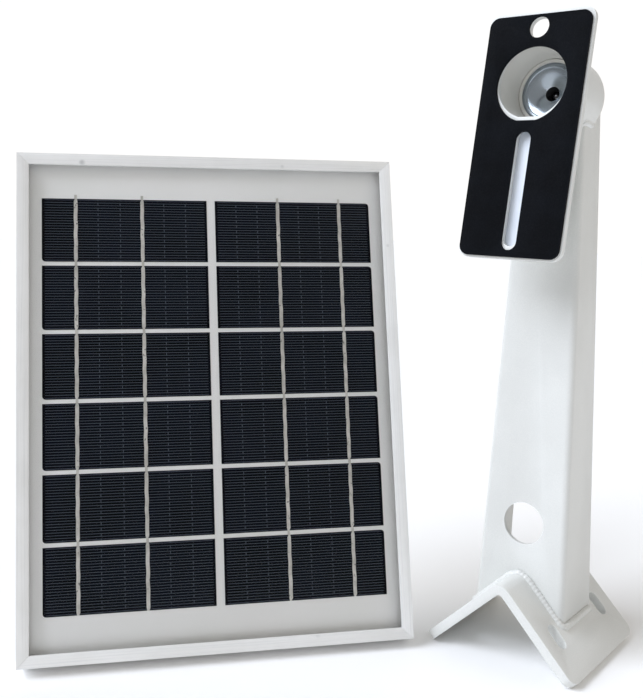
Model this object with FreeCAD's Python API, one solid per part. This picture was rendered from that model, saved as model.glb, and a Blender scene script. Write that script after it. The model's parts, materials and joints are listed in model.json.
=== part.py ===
import FreeCAD, Part
import math
import os

# Solar-powered security camera: a bent-steel mast with the camera barrel welded into its top,
# and its loose solar panel standing beside it.  Millimetres, +Z up, the mast's front faces -Y.
# The head is drawn square to its own axes and then tilted back by HEAD_TILT about its origin,
# which is ARM_HEIGHT above the base's ridge.

# ---- base bracket: a plate folded into an inverted V ----
BASE_DEPTH = 70.0
WING_LENGTH = 54.5
WING_ANGLE = 45.0
BASE_T = 4.5
BASE_BEND_IN = 2.0
WING_CORNER_R = 5.0
SLOT_LENGTH = 12.0
SLOT_WIDTH = 6.5
SLOT_DOWN = 34.0
SLOT_SPACING = 46.0

# ---- arm: a tapered channel, open at the back ----
ARM_HEIGHT = 185.0
ARM_FOOT_W = 44.0
ARM_TOP_W = 30.5
ARM_FOOT_FRONT = -14.75
ARM_TOP_FRONT = -9.5
ARM_FOOT_BACK = 14.75
ARM_TOP_BACK = 9.5
ARM_T = 2.0
ARM_BEND_R = 3.0
CABLE_HOLE_D = 20.0
CABLE_HOLE_UP = 21.5
WELD_LEG = 2.2
WELD_REACH = 30.0

# ---- back cover and the sealed control case behind it ----
COVER_T = 1.5
COVER_LOW = 44.0
COVER_HIGH = 12.0
COVER_GAP = 0.3
TAB_L = 8.0
TAB_W = 6.0
TAB_T = 3.0
TAB_INSET = 5.0
COVER_SCREW_R = 1.5
COVER_SCREW_L = 3.6
HEAD_SINK = 0.2
HEAD_DEPTH = 1.1
CASE_W = 27.6
CASE_D = 14.5
CASE_L = 104.0
CASE_WALL = 1.2
CASE_LID_T = 1.4
CASE_SEAL_T = 0.6
CASE_TOP_GAP = 5.0
CASE_AIR = 0.4
CASE_SCREW_R = 0.8
CASE_SCREW_L = 5.0
CASE_HEAD_SINK = 0.8
CASE_HEAD_T = 0.7
BOSS_R = 2.0
GLAND_R = 3.0
BATTERY_W = 21.0
BATTERY_D = 8.0
BATTERY_L = 48.0
BOARD_T = 1.2
BOARD_L = 38.0
PAD_T = 1.0

# ---- head: plate, pad and camera barrel ----
RUNNING = 0.05
HEAD_TILT = 11.0
SADDLE_LEG = 0.9
EAR_HIGH = 24.5
EAR_AIR = 0.3
PORT_R = 2.0
PORT_FORWARD = 5.3
PLATE_W = 47.6
PLATE_H = 105.0
PLATE_T = 2.5
PLATE_CORNER_R = 5.0
PAD_FACE_T = 1.4
PAD_EDGE = 0.8
PAD_DROP = 1.8
PAD_TOP_TRIM = 0.6
EYELET_D = 9.0
EYELET_DOWN = 7.4
AXIS_UP = 29.3
AXIS_ABOVE_PLATE_MID = 23.0
PLATE_FORWARD = 36.5
WINDOW_LIP = 0.8
WINDOW_FLAT_LIP = 1.4
LIGHT_SLOT_W = 7.0
LIGHT_SLOT_L = 50.0
LIGHT_SLOT_GAP = 4.7
BARREL_R = 18.3
BARREL_WALL = 1.6
HEAD_LENGTH = 34.5
CAP_T = 2.0
CAP_SET_IN = 0.3
CAP_SCREW_R = 1.0
CAP_HEAD_R = 1.9
CAP_HEAD_T = 0.7
CAP_SCREW_ANGLES = (30, 150, 270)
CAP_SCREW_BITE = 1.6
CAP_SPIGOT = 2.6
ORING_R = 0.33
ORING_GAP = 0.02
GROOVE_FORWARD = 1.7
GROOVE_W = 1.1
SLEEVE_LENGTH = 14.4
SLEEVE_MOUTH_WALL = 0.7
SLEEVE_END_WALL = 2.3
FIT = 0.1
SEAM = 0.3
CARRIER_T = 3.4
CARRIER_RING_W = 3.9
POST_R = 1.7
SPIGOT_WALL = 1.3
LENS_MOUTH_R = 3.2
BEZEL_DEPTH = 2.6
LENS_R = 4.4
LENS_HOUSING_L = 7.0
SENSOR_T = 0.8
SENSOR_W = 8.4
SENSOR_H = 7.2
FILTER_AIR = 0.20736
HOLDER_WALL = 1.3
HOLDER_FOOT_W = 14.0
HOLDER_BACK = 2.6
BOARD_BACK = 2.9
SWITCH_W = 4.4
SWITCH_T = 0.8
MODULE_BOARD_T = 1.0
TRAY_D = 5.0
TRAY_WALL = 1.0
TRAY_MARGIN = 2.2
LED_PITCH = 6.0
LED_SIZE = 2.8

# ---- power button in the rear cap ----
BUTTON_R = 2.6
BUTTON_UP = 6.5
BUTTON_TRAVEL = 0.5
BUTTON_PROUD = 0.9
BUTTON_AIR = 0.15

# ---- solar panel ----
PANEL_W = 182.0
PANEL_H = 236.0
PANEL_T = 17.0
PANEL_YAW = 50.0
PANEL_LEAN = 17.5
PANEL_EDGE_X = -50.00633
PANEL_EDGE_Y = -35.78996
RAIL_WALL = 1.4
RAIL_LIP = 5.5
RAIL_LIP_T = 1.2
RAIL_FLANGE = 11.0
GLASS_T = 3.2
GLASS_GAP = 0.6
CELL_W = 78.0
CELL_H = 30.7
CELL_T = 0.2
CELL_GAP_X = 4.0
CELL_GAP_Z = 2.0
CELL_ROWS = 6
RIBBON_W = 1.7
RIBBON_T = 0.1
RIBBON_PLACES = (0.2, 0.6)
EVA_T = 0.6
BACKSHEET_T = 0.3
KEY_LEG = 18.0
KEY_T = 2.5
KEY_SCREW_R = 1.4
KEY_SCREW_L = 4.4
PANEL_HOLE_R = 2.5
PANEL_HOLE_LOW = 48.0
JBOX_W = 52.0
JBOX_H = 34.0
JBOX_D = 10.0
JBOX_WALL = 1.6
JBOX_LID_T = 1.4
JBOX_DOWN = 30.0

X = FreeCAD.Vector(1, 0, 0)
Y = FreeCAD.Vector(0, 1, 0)
Z = FreeCAD.Vector(0, 0, 1)

# ---- places worked out from the driving sizes ----
SIN_WING = math.sin(math.radians(WING_ANGLE))
COS_WING = math.cos(math.radians(WING_ANGLE))
RIDGE_Z = WING_LENGTH * SIN_WING + BASE_T * COS_WING
HEAD_Z = RIDGE_Z + ARM_HEIGHT
PANEL_X = PANEL_EDGE_X - PANEL_W / 2 * math.cos(math.radians(PANEL_YAW))
PANEL_Y = PANEL_EDGE_Y - PANEL_W / 2 * math.sin(math.radians(PANEL_YAW))
PLATE_FRONT = -PLATE_FORWARD
BARREL_FRONT = PLATE_FRONT + PLATE_T
BARREL_BACK = PLATE_FRONT + HEAD_LENGTH - CAP_T
BORE_R = BARREL_R - BARREL_WALL
WINDOW_R = BORE_R - WINDOW_LIP
WINDOW_FLAT = BORE_R - WINDOW_FLAT_LIP
SLEEVE_MOUTH_R = BORE_R - SLEEVE_MOUTH_WALL
SLEEVE_END_R = BORE_R - SLEEVE_END_WALL
CARRIER_BORE_R = BORE_R - CARRIER_RING_W
FILTER_W = math.sqrt(2) * (LENS_R + RUNNING - FILTER_AIR)
CARRIER_FRONT = BARREL_FRONT + SLEEVE_LENGTH + SEAM
CARRIER_BACK = CARRIER_FRONT + CARRIER_T
MODULE_BOARD_Y = BARREL_BACK - BOARD_BACK
SENSOR_FRONT = MODULE_BOARD_Y - SENSOR_T
LENS_FRONT = SENSOR_FRONT - 1.0 - LENS_HOUSING_L
CAP_SCREW_PITCH_R = BORE_R - SPIGOT_WALL - POST_R - FIT
PLATE_MID_Z = AXIS_UP - AXIS_ABOVE_PLATE_MID
SLOT_TOP = AXIS_UP - PAD_DROP - WINDOW_FLAT - LIGHT_SLOT_GAP
SLOT_MID = SLOT_TOP - LIGHT_SLOT_L / 2


def V(x, y, z):
    return FreeCAD.Vector(x, y, z)


def box(x0, x1, y0, y1, z0, z1):
    return Part.makeBox(x1 - x0, y1 - y0, z1 - z0, V(x0, y0, z0))


def rod(r, base, direction, length):
    return Part.makeCylinder(r, length, base, direction)


def ring(r_out, r_in, base, direction, length):
    return rod(r_out, base, direction, length).cut(rod(r_in, base, direction, length))


def rounded_box(x0, x1, y0, y1, z0, z1, r, along):
    """A box whose four edges along one axis are rounded."""
    solid = box(x0, x1, y0, y1, z0, z1)
    edges = [e for e in solid.Edges if abs(e.tangentAt(e.FirstParameter).dot(along)) > 0.99]
    return solid.makeFillet(r, edges)


def prism(points, direction):
    """A straight prism on a closed outline of points."""
    return Part.Face(Part.makePolygon(points + [points[0]])).extrude(direction)


def stadium(width, length, y0, y1, z_mid):
    """An upright slot-shaped prism through a plate that faces -Y."""
    half = (length - width) / 2
    solid = box(-width / 2, width / 2, y0, y1, z_mid - half, z_mid + half)
    for z in (z_mid - half, z_mid + half):
        solid = solid.fuse(rod(width / 2, V(0, y0, z), Y, y1 - y0))
    return solid.removeSplitter()


def window(radius, flat, y0, y1, z_axis):
    """The camera window: a circle with a flat at its bottom."""
    disc = rod(radius, V(0, y0, z_axis), Y, y1 - y0)
    return disc.common(box(-radius, radius, y0, y1, z_axis - flat, z_axis + radius))


# ---- base bracket -----------------------------------------------------------------------

def wing_outline(drop):
    """Points of the V's section, seen along Y; drop moves the outline below the outer face."""
    tip_x = WING_LENGTH * COS_WING
    tip_z = RIDGE_Z - WING_LENGTH * SIN_WING
    inner_x, inner_z = BASE_T * SIN_WING, BASE_T * COS_WING
    outer = [(-tip_x, tip_z), (0, RIDGE_Z), (tip_x, tip_z)]
    inner = [(tip_x - inner_x, tip_z - inner_z), (0, RIDGE_Z - BASE_T / COS_WING),
             (-tip_x + inner_x, tip_z - inner_z)]
    return [V(x, -BASE_DEPTH / 2, z - drop) for x, z in outer + inner]


def edges_near(solid, x, z):
    """Edges that run along Y through the given x and z."""
    found = []
    for e in solid.Edges:
        ends = [v.Point for v in e.Vertexes]
        if len(ends) == 2 and all(abs(p.x - x) < 0.01 and abs(p.z - z) < 0.01 for p in ends):
            found.append(e)
    return found


def wing_slot(side, y):
    """The cutter of one bolt slot, long way down the wing, square to the wing."""
    half = (SLOT_LENGTH - SLOT_WIDTH) / 2
    cutter = box(-half, half, -SLOT_WIDTH / 2, SLOT_WIDTH / 2, -2 * BASE_T, BASE_T)
    for x in (-half, half):
        cutter = cutter.fuse(rod(SLOT_WIDTH / 2, V(x, 0, -2 * BASE_T), Z, 3 * BASE_T))
    cutter.rotate(V(0, 0, 0), Y, side * WING_ANGLE)
    cutter.translate(V(side * SLOT_DOWN * COS_WING, y, RIDGE_Z - SLOT_DOWN * SIN_WING))
    return cutter


def base_bracket():
    solid = prism(wing_outline(0), V(0, BASE_DEPTH, 0))
    solid = solid.makeFillet(BASE_BEND_IN + BASE_T, edges_near(solid, 0, RIDGE_Z))
    solid = solid.makeFillet(BASE_BEND_IN, edges_near(solid, 0, RIDGE_Z - BASE_T / COS_WING))
    corners = [e for e in solid.Edges if abs(e.Length - BASE_T) < 0.01
               and abs(abs(e.CenterOfMass.y) - BASE_DEPTH / 2) < 0.01
               and abs(e.CenterOfMass.x) > WING_LENGTH * COS_WING - BASE_T]
    solid = solid.makeFillet(WING_CORNER_R, corners)
    for side in (-1, 1):
        for y in (-SLOT_SPACING / 2, SLOT_SPACING / 2):
            solid = solid.cut(wing_slot(side, y))
    return solid


def under_base(lift):
    """Everything under the base's outer face, with that face raised by lift."""
    reach = WING_LENGTH * COS_WING
    top = RIDGE_Z + lift / COS_WING
    foot = top - WING_LENGTH * SIN_WING
    y0 = -BASE_DEPTH
    outline = [V(-reach, y0, foot), V(0, y0, top), V(reach, y0, foot), V(reach, y0, -50),
               V(-reach, y0, -50)]
    solid = prism(outline, V(0, 2 * BASE_DEPTH, 0))
    radius = BASE_BEND_IN + BASE_T + lift
    return solid.makeFillet(radius, edges_near(solid, 0, top))


# ---- arm ----------------------------------------------------------------------------------

def along_arm(z, foot, top):
    return foot + (top - foot) * (z - RIDGE_Z) / ARM_HEIGHT


def half_width(z):
    return along_arm(z, ARM_FOOT_W, ARM_TOP_W) / 2


def arm_front(z):
    return along_arm(z, ARM_FOOT_FRONT, ARM_TOP_FRONT)


def arm_back(z):
    return along_arm(z, ARM_FOOT_BACK, ARM_TOP_BACK)


def outward(points, middle):
    """A flat face on the points that looks away from the middle of its solid."""
    face = Part.Face(Part.makePolygon(points + [points[0]]))
    if face.normalAt(0, 0).dot(face.CenterOfMass - middle) < 0:
        face.reverse()
    return face


def tapered(z0, z1, corners):
    """A solid that follows the arm's taper; corners gives its plan at any height."""
    low, high = [[V(x, y, z) for x, y in corners(z)] for z in (z0, z1)]
    middle = sum(low + high, V(0, 0, 0)) * (0.5 / len(low))
    faces = [outward(low, middle), outward(high, middle)]
    for i in range(len(low)):
        j = (i + 1) % len(low)
        faces.append(outward([low[i], low[j], high[j], high[i]], middle))
    return Part.makeSolid(Part.makeShell(faces))


def arm_block(z0, z1, grow, open_back=0.0):
    """The arm's outer shape, grown by a margin on the front and the sides."""
    def plan(z):
        w = half_width(z) + grow
        return [(-w, arm_front(z) - grow), (w, arm_front(z) - grow),
                (w, arm_back(z) + open_back), (-w, arm_back(z) + open_back)]
    return tapered(z0, z1, plan)


def front_edges(solid):
    """The two long edges at the front of an arm-shaped block."""
    tall = [e for e in solid.Edges if abs(e.tangentAt(e.FirstParameter).z) > 0.9]
    return sorted(tall, key=lambda e: e.CenterOfMass.y)[:2]


def saddle_rod(radius):
    """A rod on the placed barrel's axis, from far in front to just behind the rear cap."""
    reach = 4 * BARREL_R
    return place_head(rod(radius, V(0, -reach, AXIS_UP), Y, reach + BARREL_BACK + CAP_T + EAR_AIR))


def behind_barrel():
    """Everything behind the barrel's rear edge, square to the head."""
    reach = 4 * BARREL_R
    return place_head(box(-reach, reach, BARREL_BACK, BARREL_BACK + reach, AXIS_UP - reach, AXIS_UP + reach))


def arm():
    """A folded channel whose top is notched to take the barrel."""
    floor_z, top_z = RIDGE_Z - WELD_REACH, HEAD_Z + EAR_HIGH
    outer = arm_block(floor_z, top_z, 0.0)
    outer = outer.makeFillet(ARM_BEND_R, front_edges(outer))
    inner = arm_block(floor_z - 1, top_z + 1, -ARM_T, open_back=ARM_T)
    inner = inner.makeFillet(ARM_BEND_R - ARM_T, front_edges(inner))
    solid = outer.cut(inner).cut(under_base(0.0))
    solid = solid.cut(saddle_rod(BARREL_R))
    hole = rod(CABLE_HOLE_D / 2, V(0, 2 * ARM_FOOT_FRONT, RIDGE_Z + CABLE_HOLE_UP), Y, -2 * ARM_FOOT_FRONT)
    return solid.cut(hole)


def saddle_weld():
    """The weld between the arm's notched top and the barrel, along the front and both sides."""
    low, high = HEAD_Z, HEAD_Z + EAR_HIGH
    band = arm_block(low, high, SADDLE_LEG)
    band = band.makeFillet(ARM_BEND_R + SADDLE_LEG, front_edges(band))
    core = arm_block(low - 1, high + 1, 0.0, open_back=2 * SADDLE_LEG)
    core = core.makeFillet(ARM_BEND_R, front_edges(core))
    shell = saddle_rod(BARREL_R + SADDLE_LEG).cut(saddle_rod(BARREL_R))
    return band.cut(core).common(shell).cut(behind_barrel())


def weld_bead():
    """The weld round the arm's foot, on its front and its two sides."""
    floor_z = RIDGE_Z - WELD_REACH
    band = arm_block(floor_z, RIDGE_Z + WELD_REACH, WELD_LEG)
    band = band.makeFillet(ARM_BEND_R + WELD_LEG, front_edges(band))
    core = arm_block(floor_z - 1, RIDGE_Z + WELD_REACH + 1, 0.0, open_back=2 * WELD_LEG)
    core = core.makeFillet(ARM_BEND_R, front_edges(core))
    return band.cut(core).common(under_base(WELD_LEG)).cut(under_base(0.0))


# ---- back cover ---------------------------------------------------------------------------

COVER_Z0 = RIDGE_Z + COVER_LOW
COVER_Z1 = HEAD_Z - COVER_HIGH
TAB_HEIGHTS = (COVER_Z0 + TAB_INSET, COVER_Z1 - TAB_INSET)


def screw_places():
    """Centres of the four cover screws, on the cover's outer face."""
    return [V(side * (half_width(z) - ARM_T - TAB_W / 2), arm_back(z), z)
            for z in TAB_HEIGHTS for side in (-1, 1)]


def slab(z0, z1, x0, x1, front, back):
    """A tapered slab behind the arm's front; x and depth are given as functions of height."""
    return tapered(z0, z1, lambda z: [(x0(z), front(z)), (x1(z), front(z)),
                                      (x1(z), back(z)), (x0(z), back(z))])


def arm_back_cover():
    inset = ARM_T + COVER_GAP
    solid = slab(COVER_Z0, COVER_Z1, lambda z: -half_width(z) + inset, lambda z: half_width(z) - inset,
                 lambda z: arm_back(z) - COVER_T, arm_back)
    for p in screw_places():
        solid = solid.cut(rod(COVER_SCREW_R + FIT, p - Y * (2 * COVER_T), Y, 4 * COVER_T))
        solid = solid.cut(screw_head(p, FIT))
        solid = solid.cut(rod(2 * COVER_SCREW_R + FIT, p - Y * HEAD_SINK, Y, COVER_T))
    return solid


def screw_head(place, grow):
    """A countersunk head, sunk just under the cover's outer face at place."""
    r = COVER_SCREW_R
    base = place - Y * (HEAD_SINK + HEAD_DEPTH)
    return Part.makeCone(r + grow, 2 * r + grow, HEAD_DEPTH, base, Y)


def cover_tabs():
    tabs = []
    for p in screw_places():
        side = 1 if p.x > 0 else -1

        def inner(z, side=side):
            return side * (half_width(z) - ARM_T - TAB_W)

        def outer(z, side=side):
            return side * (half_width(z) - ARM_T)
        low, high = (inner, outer) if side > 0 else (outer, inner)
        tab = slab(p.z - TAB_L / 2, p.z + TAB_L / 2, low, high,
                   lambda z: arm_back(z) - COVER_T - TAB_T, lambda z: arm_back(z) - COVER_T)
        tabs.append(tab.cut(rod(COVER_SCREW_R + RUNNING, p - Y * 10, Y, 20)))
    return Part.makeCompound(tabs)


def cover_screws():
    screws = []
    for p in screw_places():
        top = p - Y * (HEAD_SINK + HEAD_DEPTH)
        shank = rod(COVER_SCREW_R, top - Y * COVER_SCREW_L, Y, COVER_SCREW_L)
        head = screw_head(p, 0.0)
        socket = rod(COVER_SCREW_R * 0.6, p - Y * 0.9, Y, 2.0)
        screws.append(shank.fuse(head).cut(socket))
    return Part.makeCompound(screws)


# ---- control case, in the arm behind the cover ---------------------------------------------

CASE_Z1 = COVER_Z1 - TAB_INSET - TAB_L / 2 - CASE_TOP_GAP
CASE_Z0 = CASE_Z1 - CASE_L
CASE_BACK = arm_back(CASE_Z1) - COVER_T - CASE_AIR
CASE_FRONT = CASE_BACK - CASE_D
LID_FRONT = CASE_BACK - CASE_LID_T
SEAL_FRONT = LID_FRONT - CASE_SEAL_T
CASE_FLOOR = CASE_FRONT + CASE_WALL
BATTERY_Z0 = CASE_Z0 + CASE_WALL + BOSS_R * 2 + 4.0


def case_boss_places():
    x = CASE_W / 2 - BOSS_R
    return [V(sx * x, 0, z) for z in (CASE_Z0 + BOSS_R, CASE_Z1 - BOSS_R) for sx in (-1, 1)]


def case_cavity(front, back):
    """The space inside the case: a box clear of the four corner screw bosses."""
    w = CASE_WALL
    space = box(-CASE_W / 2 + w, CASE_W / 2 - w, front, back, CASE_Z0 + w, CASE_Z1 - w)
    for p in case_boss_places():
        space = space.cut(rod(BOSS_R, V(p.x, front - 1, p.z), Y, back - front + 2))
    return space


def case_block(y0, y1):
    return rounded_box(-CASE_W / 2, CASE_W / 2, y0, y1, CASE_Z0, CASE_Z1, BOSS_R, Y)


def case_base():
    solid = case_block(CASE_FRONT, SEAL_FRONT).cut(case_cavity(CASE_FLOOR, SEAL_FRONT + 1))
    for p in case_boss_places():
        solid = solid.cut(rod(CASE_SCREW_R + RUNNING, V(p.x, SEAL_FRONT - CASE_SCREW_L - 1, p.z), Y,
                              CASE_SCREW_L + 2))
    return solid.cut(rod(GLAND_R + FIT, V(0, gland_y(), CASE_Z0 - 1), Z, CASE_WALL + 2))


def gland_y():
    return (CASE_FLOOR + SEAL_FRONT) / 2


def case_seal():
    solid = case_block(SEAL_FRONT, LID_FRONT).cut(case_cavity(SEAL_FRONT - 1, LID_FRONT + 1))
    for p in case_boss_places():
        solid = solid.cut(rod(CASE_SCREW_R + RUNNING, V(p.x, SEAL_FRONT - 1, p.z), Y, 4))
    return solid


def case_lid():
    solid = case_block(LID_FRONT, CASE_BACK)
    for p in case_boss_places():
        solid = solid.cut(rod(CASE_SCREW_R + RUNNING, V(p.x, LID_FRONT - 1, p.z), Y, 5))
        solid = solid.cut(rod(2 * CASE_SCREW_R, V(p.x, CASE_BACK - CASE_HEAD_SINK, p.z), Y, CASE_LID_T))
    return solid


def case_screws():
    screws = []
    for p in case_boss_places():
        seat = CASE_BACK - CASE_HEAD_SINK
        tip = SEAL_FRONT - CASE_SCREW_L
        shank = rod(CASE_SCREW_R, V(p.x, tip, p.z), Y, seat - tip)
        head = rod(2 * CASE_SCREW_R - FIT, V(p.x, seat, p.z), Y, CASE_HEAD_T)
        screws.append(shank.fuse(head))
    return Part.makeCompound(screws)


def foam_pads():
    """Foam that holds the case off the arm's front web, and the battery off the case's floor."""
    z0 = BATTERY_Z0 + 4.0
    pads = [box(-BATTERY_W / 2 + 2, BATTERY_W / 2 - 2, CASE_FLOOR, CASE_FLOOR + PAD_T, z0,
                z0 + BATTERY_L - 8)]
    for z in (CASE_Z0 + 12, CASE_Z1 - 12):
        pads.append(slab(z - 5, z + 5, lambda _: -8, lambda _: 8,
                         lambda h: arm_front(h) + ARM_T, lambda _: CASE_FRONT))
    return Part.makeCompound(pads)


def battery_pack():
    y0 = CASE_FLOOR + PAD_T
    return rounded_box(-BATTERY_W / 2, BATTERY_W / 2, y0, y0 + BATTERY_D, BATTERY_Z0,
                       BATTERY_Z0 + BATTERY_L, 2.0, X)


BOARD_Z1 = CASE_Z1 - CASE_WALL - 2 * BOSS_R - 0.5
BOARD_Z0 = BOARD_Z1 - BOARD_L
BOARD_HALF_W = CASE_W / 2 - CASE_WALL - 0.6
BOARD_FRONT = CASE_FLOOR + 3.0


def board_posts():
    return Part.makeCompound([rod(1.2, V(sx * (BOARD_HALF_W - 2), CASE_FLOOR, z), Y, BOARD_FRONT - CASE_FLOOR)
                              for z in (BOARD_Z0 + 2, BOARD_Z1 - 2) for sx in (-1, 1)])


def main_board():
    return box(-BOARD_HALF_W, BOARD_HALF_W, BOARD_FRONT, BOARD_FRONT + BOARD_T, BOARD_Z0, BOARD_Z1)


def board_chips():
    """Processor, radio module, charge regulator and two coils on the main board."""
    y = BOARD_FRONT + BOARD_T
    sizes = [(-6, BOARD_Z1 - 10, 9, 9, 1.2), (5.5, BOARD_Z1 - 10, 8, 12, 2.2),
             (-6, BOARD_Z0 + 16, 6, 5, 1.0), (5, BOARD_Z0 + 14, 6, 6, 3.0), (-5, BOARD_Z0 + 7, 5, 5, 2.6)]
    return Part.makeCompound([box(x - w / 2, x + w / 2, y, y + t, z - h / 2, z + h / 2)
                              for x, z, w, h, t in sizes])


def antenna_strip():
    y = SEAL_FRONT - 1.0
    return box(-9, 9, y, y + 0.2, BOARD_Z0 + 4, BOARD_Z1 - 4)


def hexagon(r, base, length):
    """A hexagonal nut blank along Z; r is its corner radius."""
    points = [V(base.x + r * math.cos(math.radians(a)), base.y + r * math.sin(math.radians(a)), base.z)
              for a in range(0, 360, 60)]
    return prism(points, V(0, 0, length))


def gland_body():
    y = gland_y()
    z = CASE_Z0
    stem = rod(GLAND_R, V(0, y, z), Z, CASE_WALL + 2.4)
    collar = hexagon(GLAND_R * 1.6, V(0, y, z - 3.0), 3.0)
    thread = rod(GLAND_R, V(0, y, z - 7.0), Z, 4.0)
    return stem.fuse(collar).fuse(thread).cut(rod(1.8, V(0, y, z - 8), Z, 14)).removeSplitter()


def gland_locknut():
    z = CASE_Z0 + CASE_WALL
    return hexagon(GLAND_R * 1.5, V(0, gland_y(), z), 1.8).cut(
        rod(GLAND_R + RUNNING, V(0, gland_y(), z - 1), Z, 5))


def gland_dome_nut():
    z = CASE_Z0 - 10.0
    nut = hexagon(GLAND_R * 1.55, V(0, gland_y(), z), 6.5)
    nut = nut.cut(rod(GLAND_R + RUNNING, V(0, gland_y(), z + 2.0), Z, 6))
    return nut.cut(rod(2.0, V(0, gland_y(), z - 1), Z, 5))


# ---- head, drawn square to its own axes with its own origin under the barrel ------------------

def head_plate():
    low, high = PLATE_MID_Z - PLATE_H / 2, PLATE_MID_Z + PLATE_H / 2
    solid = rounded_box(-PLATE_W / 2, PLATE_W / 2, PLATE_FRONT, BARREL_FRONT, low, high, PLATE_CORNER_R, Y)
    y0, y1 = PLATE_FRONT - 1, BARREL_FRONT + 1
    solid = solid.cut(window(WINDOW_R, WINDOW_FLAT, y0, y1, AXIS_UP))
    solid = solid.cut(stadium(LIGHT_SLOT_W, LIGHT_SLOT_L, y0, y1, SLOT_MID + PAD_DROP))
    solid = solid.cut(rod(EYELET_D / 2, V(0, y0, high - EYELET_DOWN), Y, y1 - y0))
    for z in tray_rivet_heights():
        for side in (-1, 1):
            solid = solid.cut(rod(RIVET_R + RUNNING, V(side * TRAY_RIVET_X, BARREL_FRONT - 1.2, z), Y, 3))
    return solid


def face_pad():
    low, high = PLATE_MID_Z - PLATE_H / 2, PLATE_MID_Z + PLATE_H / 2
    y0, y1 = PLATE_FRONT - PAD_FACE_T, PLATE_FRONT
    half = PLATE_W / 2 - PAD_EDGE
    solid = rounded_box(-half, half, y0, y1, low + PAD_EDGE, high - PAD_EDGE - PAD_DROP + PAD_TOP_TRIM,
                        PLATE_CORNER_R - PAD_EDGE, Y)
    solid = solid.cut(window(WINDOW_R, WINDOW_FLAT, y0 - 1, y1 + 1, AXIS_UP - PAD_DROP))
    solid = solid.cut(stadium(LIGHT_SLOT_W, LIGHT_SLOT_L, y0 - 1, y1 + 1, SLOT_MID))
    return solid.cut(rod(EYELET_D / 2, V(0, y0 - 1, high - EYELET_DOWN), Y, PAD_FACE_T + 2))


def barrel_housing():
    """The camera barrel, with a port in its underside for the wires down the arm."""
    length = BARREL_BACK - BARREL_FRONT
    solid = ring(BARREL_R, BORE_R, V(0, BARREL_FRONT, AXIS_UP), Y, length)
    return solid.cut(rod(PORT_R, V(0, BARREL_BACK - PORT_FORWARD, AXIS_UP), -Z, 2 * BARREL_R))


def cap_screw_places():
    turns = [math.radians(a) for a in CAP_SCREW_ANGLES]
    return [V(CAP_SCREW_PITCH_R * math.cos(a), 0, AXIS_UP + CAP_SCREW_PITCH_R * math.sin(a)) for a in turns]


def cap_screw_bores(solid, y0, length):
    """The solid with a clearance bore at each of the rear cap's screws."""
    for p in cap_screw_places():
        solid = solid.cut(rod(CAP_SCREW_R + RUNNING, V(p.x, y0, p.z), Y, length))
    return solid


def rear_cap():
    y = BARREL_BACK
    radius = BARREL_R - CAP_SET_IN
    disc = rod(radius, V(0, y, AXIS_UP), Y, CAP_T)
    spigot = ring(BORE_R - FIT, BORE_R - SPIGOT_WALL, V(0, y - CAP_SPIGOT, AXIS_UP), Y, CAP_SPIGOT)
    groove = ring(BORE_R, BORE_R - 2 * (ORING_R + ORING_GAP), V(0, y - GROOVE_FORWARD, AXIS_UP), Y, GROOVE_W)
    solid = disc.fuse(spigot).cut(groove)
    edges = [e for e in solid.Edges if abs(e.CenterOfMass.y - y - CAP_T) < 0.01
             and abs(e.Length - 2 * math.pi * radius) < 0.1]
    solid = solid.makeFillet(CAP_T * 0.4, edges)
    bore = rod(BUTTON_R + BUTTON_AIR, V(0, y - 1, AXIS_UP + BUTTON_UP), Y, CAP_T + 2)
    return cap_screw_bores(solid.cut(bore), y - 1, CAP_T + 2)


def cap_seal():
    y = BARREL_BACK - GROOVE_FORWARD + GROOVE_W / 2
    return Part.makeTorus(BORE_R - ORING_R - ORING_GAP, ORING_R, V(0, y, AXIS_UP), Y)


def cap_screws():
    screws = []
    for p in cap_screw_places():
        back = BARREL_BACK + CAP_T
        tip = MODULE_BOARD_Y - CAP_SCREW_BITE
        shank = rod(CAP_SCREW_R, V(p.x, tip, p.z), Y, back - tip)
        head = rod(CAP_HEAD_R, V(p.x, back, p.z), Y, CAP_HEAD_T)
        socket = rod(CAP_SCREW_R * 0.7, V(p.x, back + CAP_HEAD_T * 0.3, p.z), Y, CAP_HEAD_T)
        screws.append(shank.fuse(head).cut(socket))
    return Part.makeCompound(screws)


def shroud_sleeve():
    """The tapered liner that the camera looks out through."""
    y0 = BARREL_FRONT
    outer = rod(BORE_R - RUNNING, V(0, y0, AXIS_UP), Y, SLEEVE_LENGTH)
    inner = Part.makeCone(SLEEVE_MOUTH_R, SLEEVE_END_R, SLEEVE_LENGTH, V(0, y0, AXIS_UP), Y)
    return outer.cut(inner)


def module_carrier():
    """The ring behind the sleeve: it holds the bezel, and its posts hold the camera board."""
    front = CARRIER_FRONT
    disc = rod(BORE_R - FIT, V(0, front, AXIS_UP), Y, CARRIER_T)
    boss = rod(SLEEVE_END_R - SEAM, V(0, front - SEAM - 0.5, AXIS_UP), Y, CARRIER_T)
    solid = disc.fuse(boss).cut(rod(CARRIER_BORE_R, V(0, front - 5, AXIS_UP), Y, 20))
    for p in cap_screw_places():
        start = CARRIER_BACK - 0.5
        solid = solid.fuse(rod(POST_R, V(p.x, start, p.z), Y, MODULE_BOARD_Y - start))
    depth = CAP_SCREW_BITE + FIT
    return cap_screw_bores(solid, MODULE_BOARD_Y - depth, depth + 1).removeSplitter()


def bezel_cone():
    """The bright funnel round the lens."""
    y = CARRIER_FRONT - SEAM - 0.2
    outer_r = CARRIER_BORE_R - RUNNING
    outer = Part.makeCone(outer_r, LENS_MOUTH_R + 1.0, BEZEL_DEPTH, V(0, y + 1.0, AXIS_UP), Y)
    outer = outer.fuse(rod(outer_r, V(0, y, AXIS_UP), Y, 1.0))
    inner = Part.makeCone(outer_r - 0.7, LENS_MOUTH_R, BEZEL_DEPTH + 1.0, V(0, y, AXIS_UP), Y)
    return outer.cut(inner)


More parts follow.
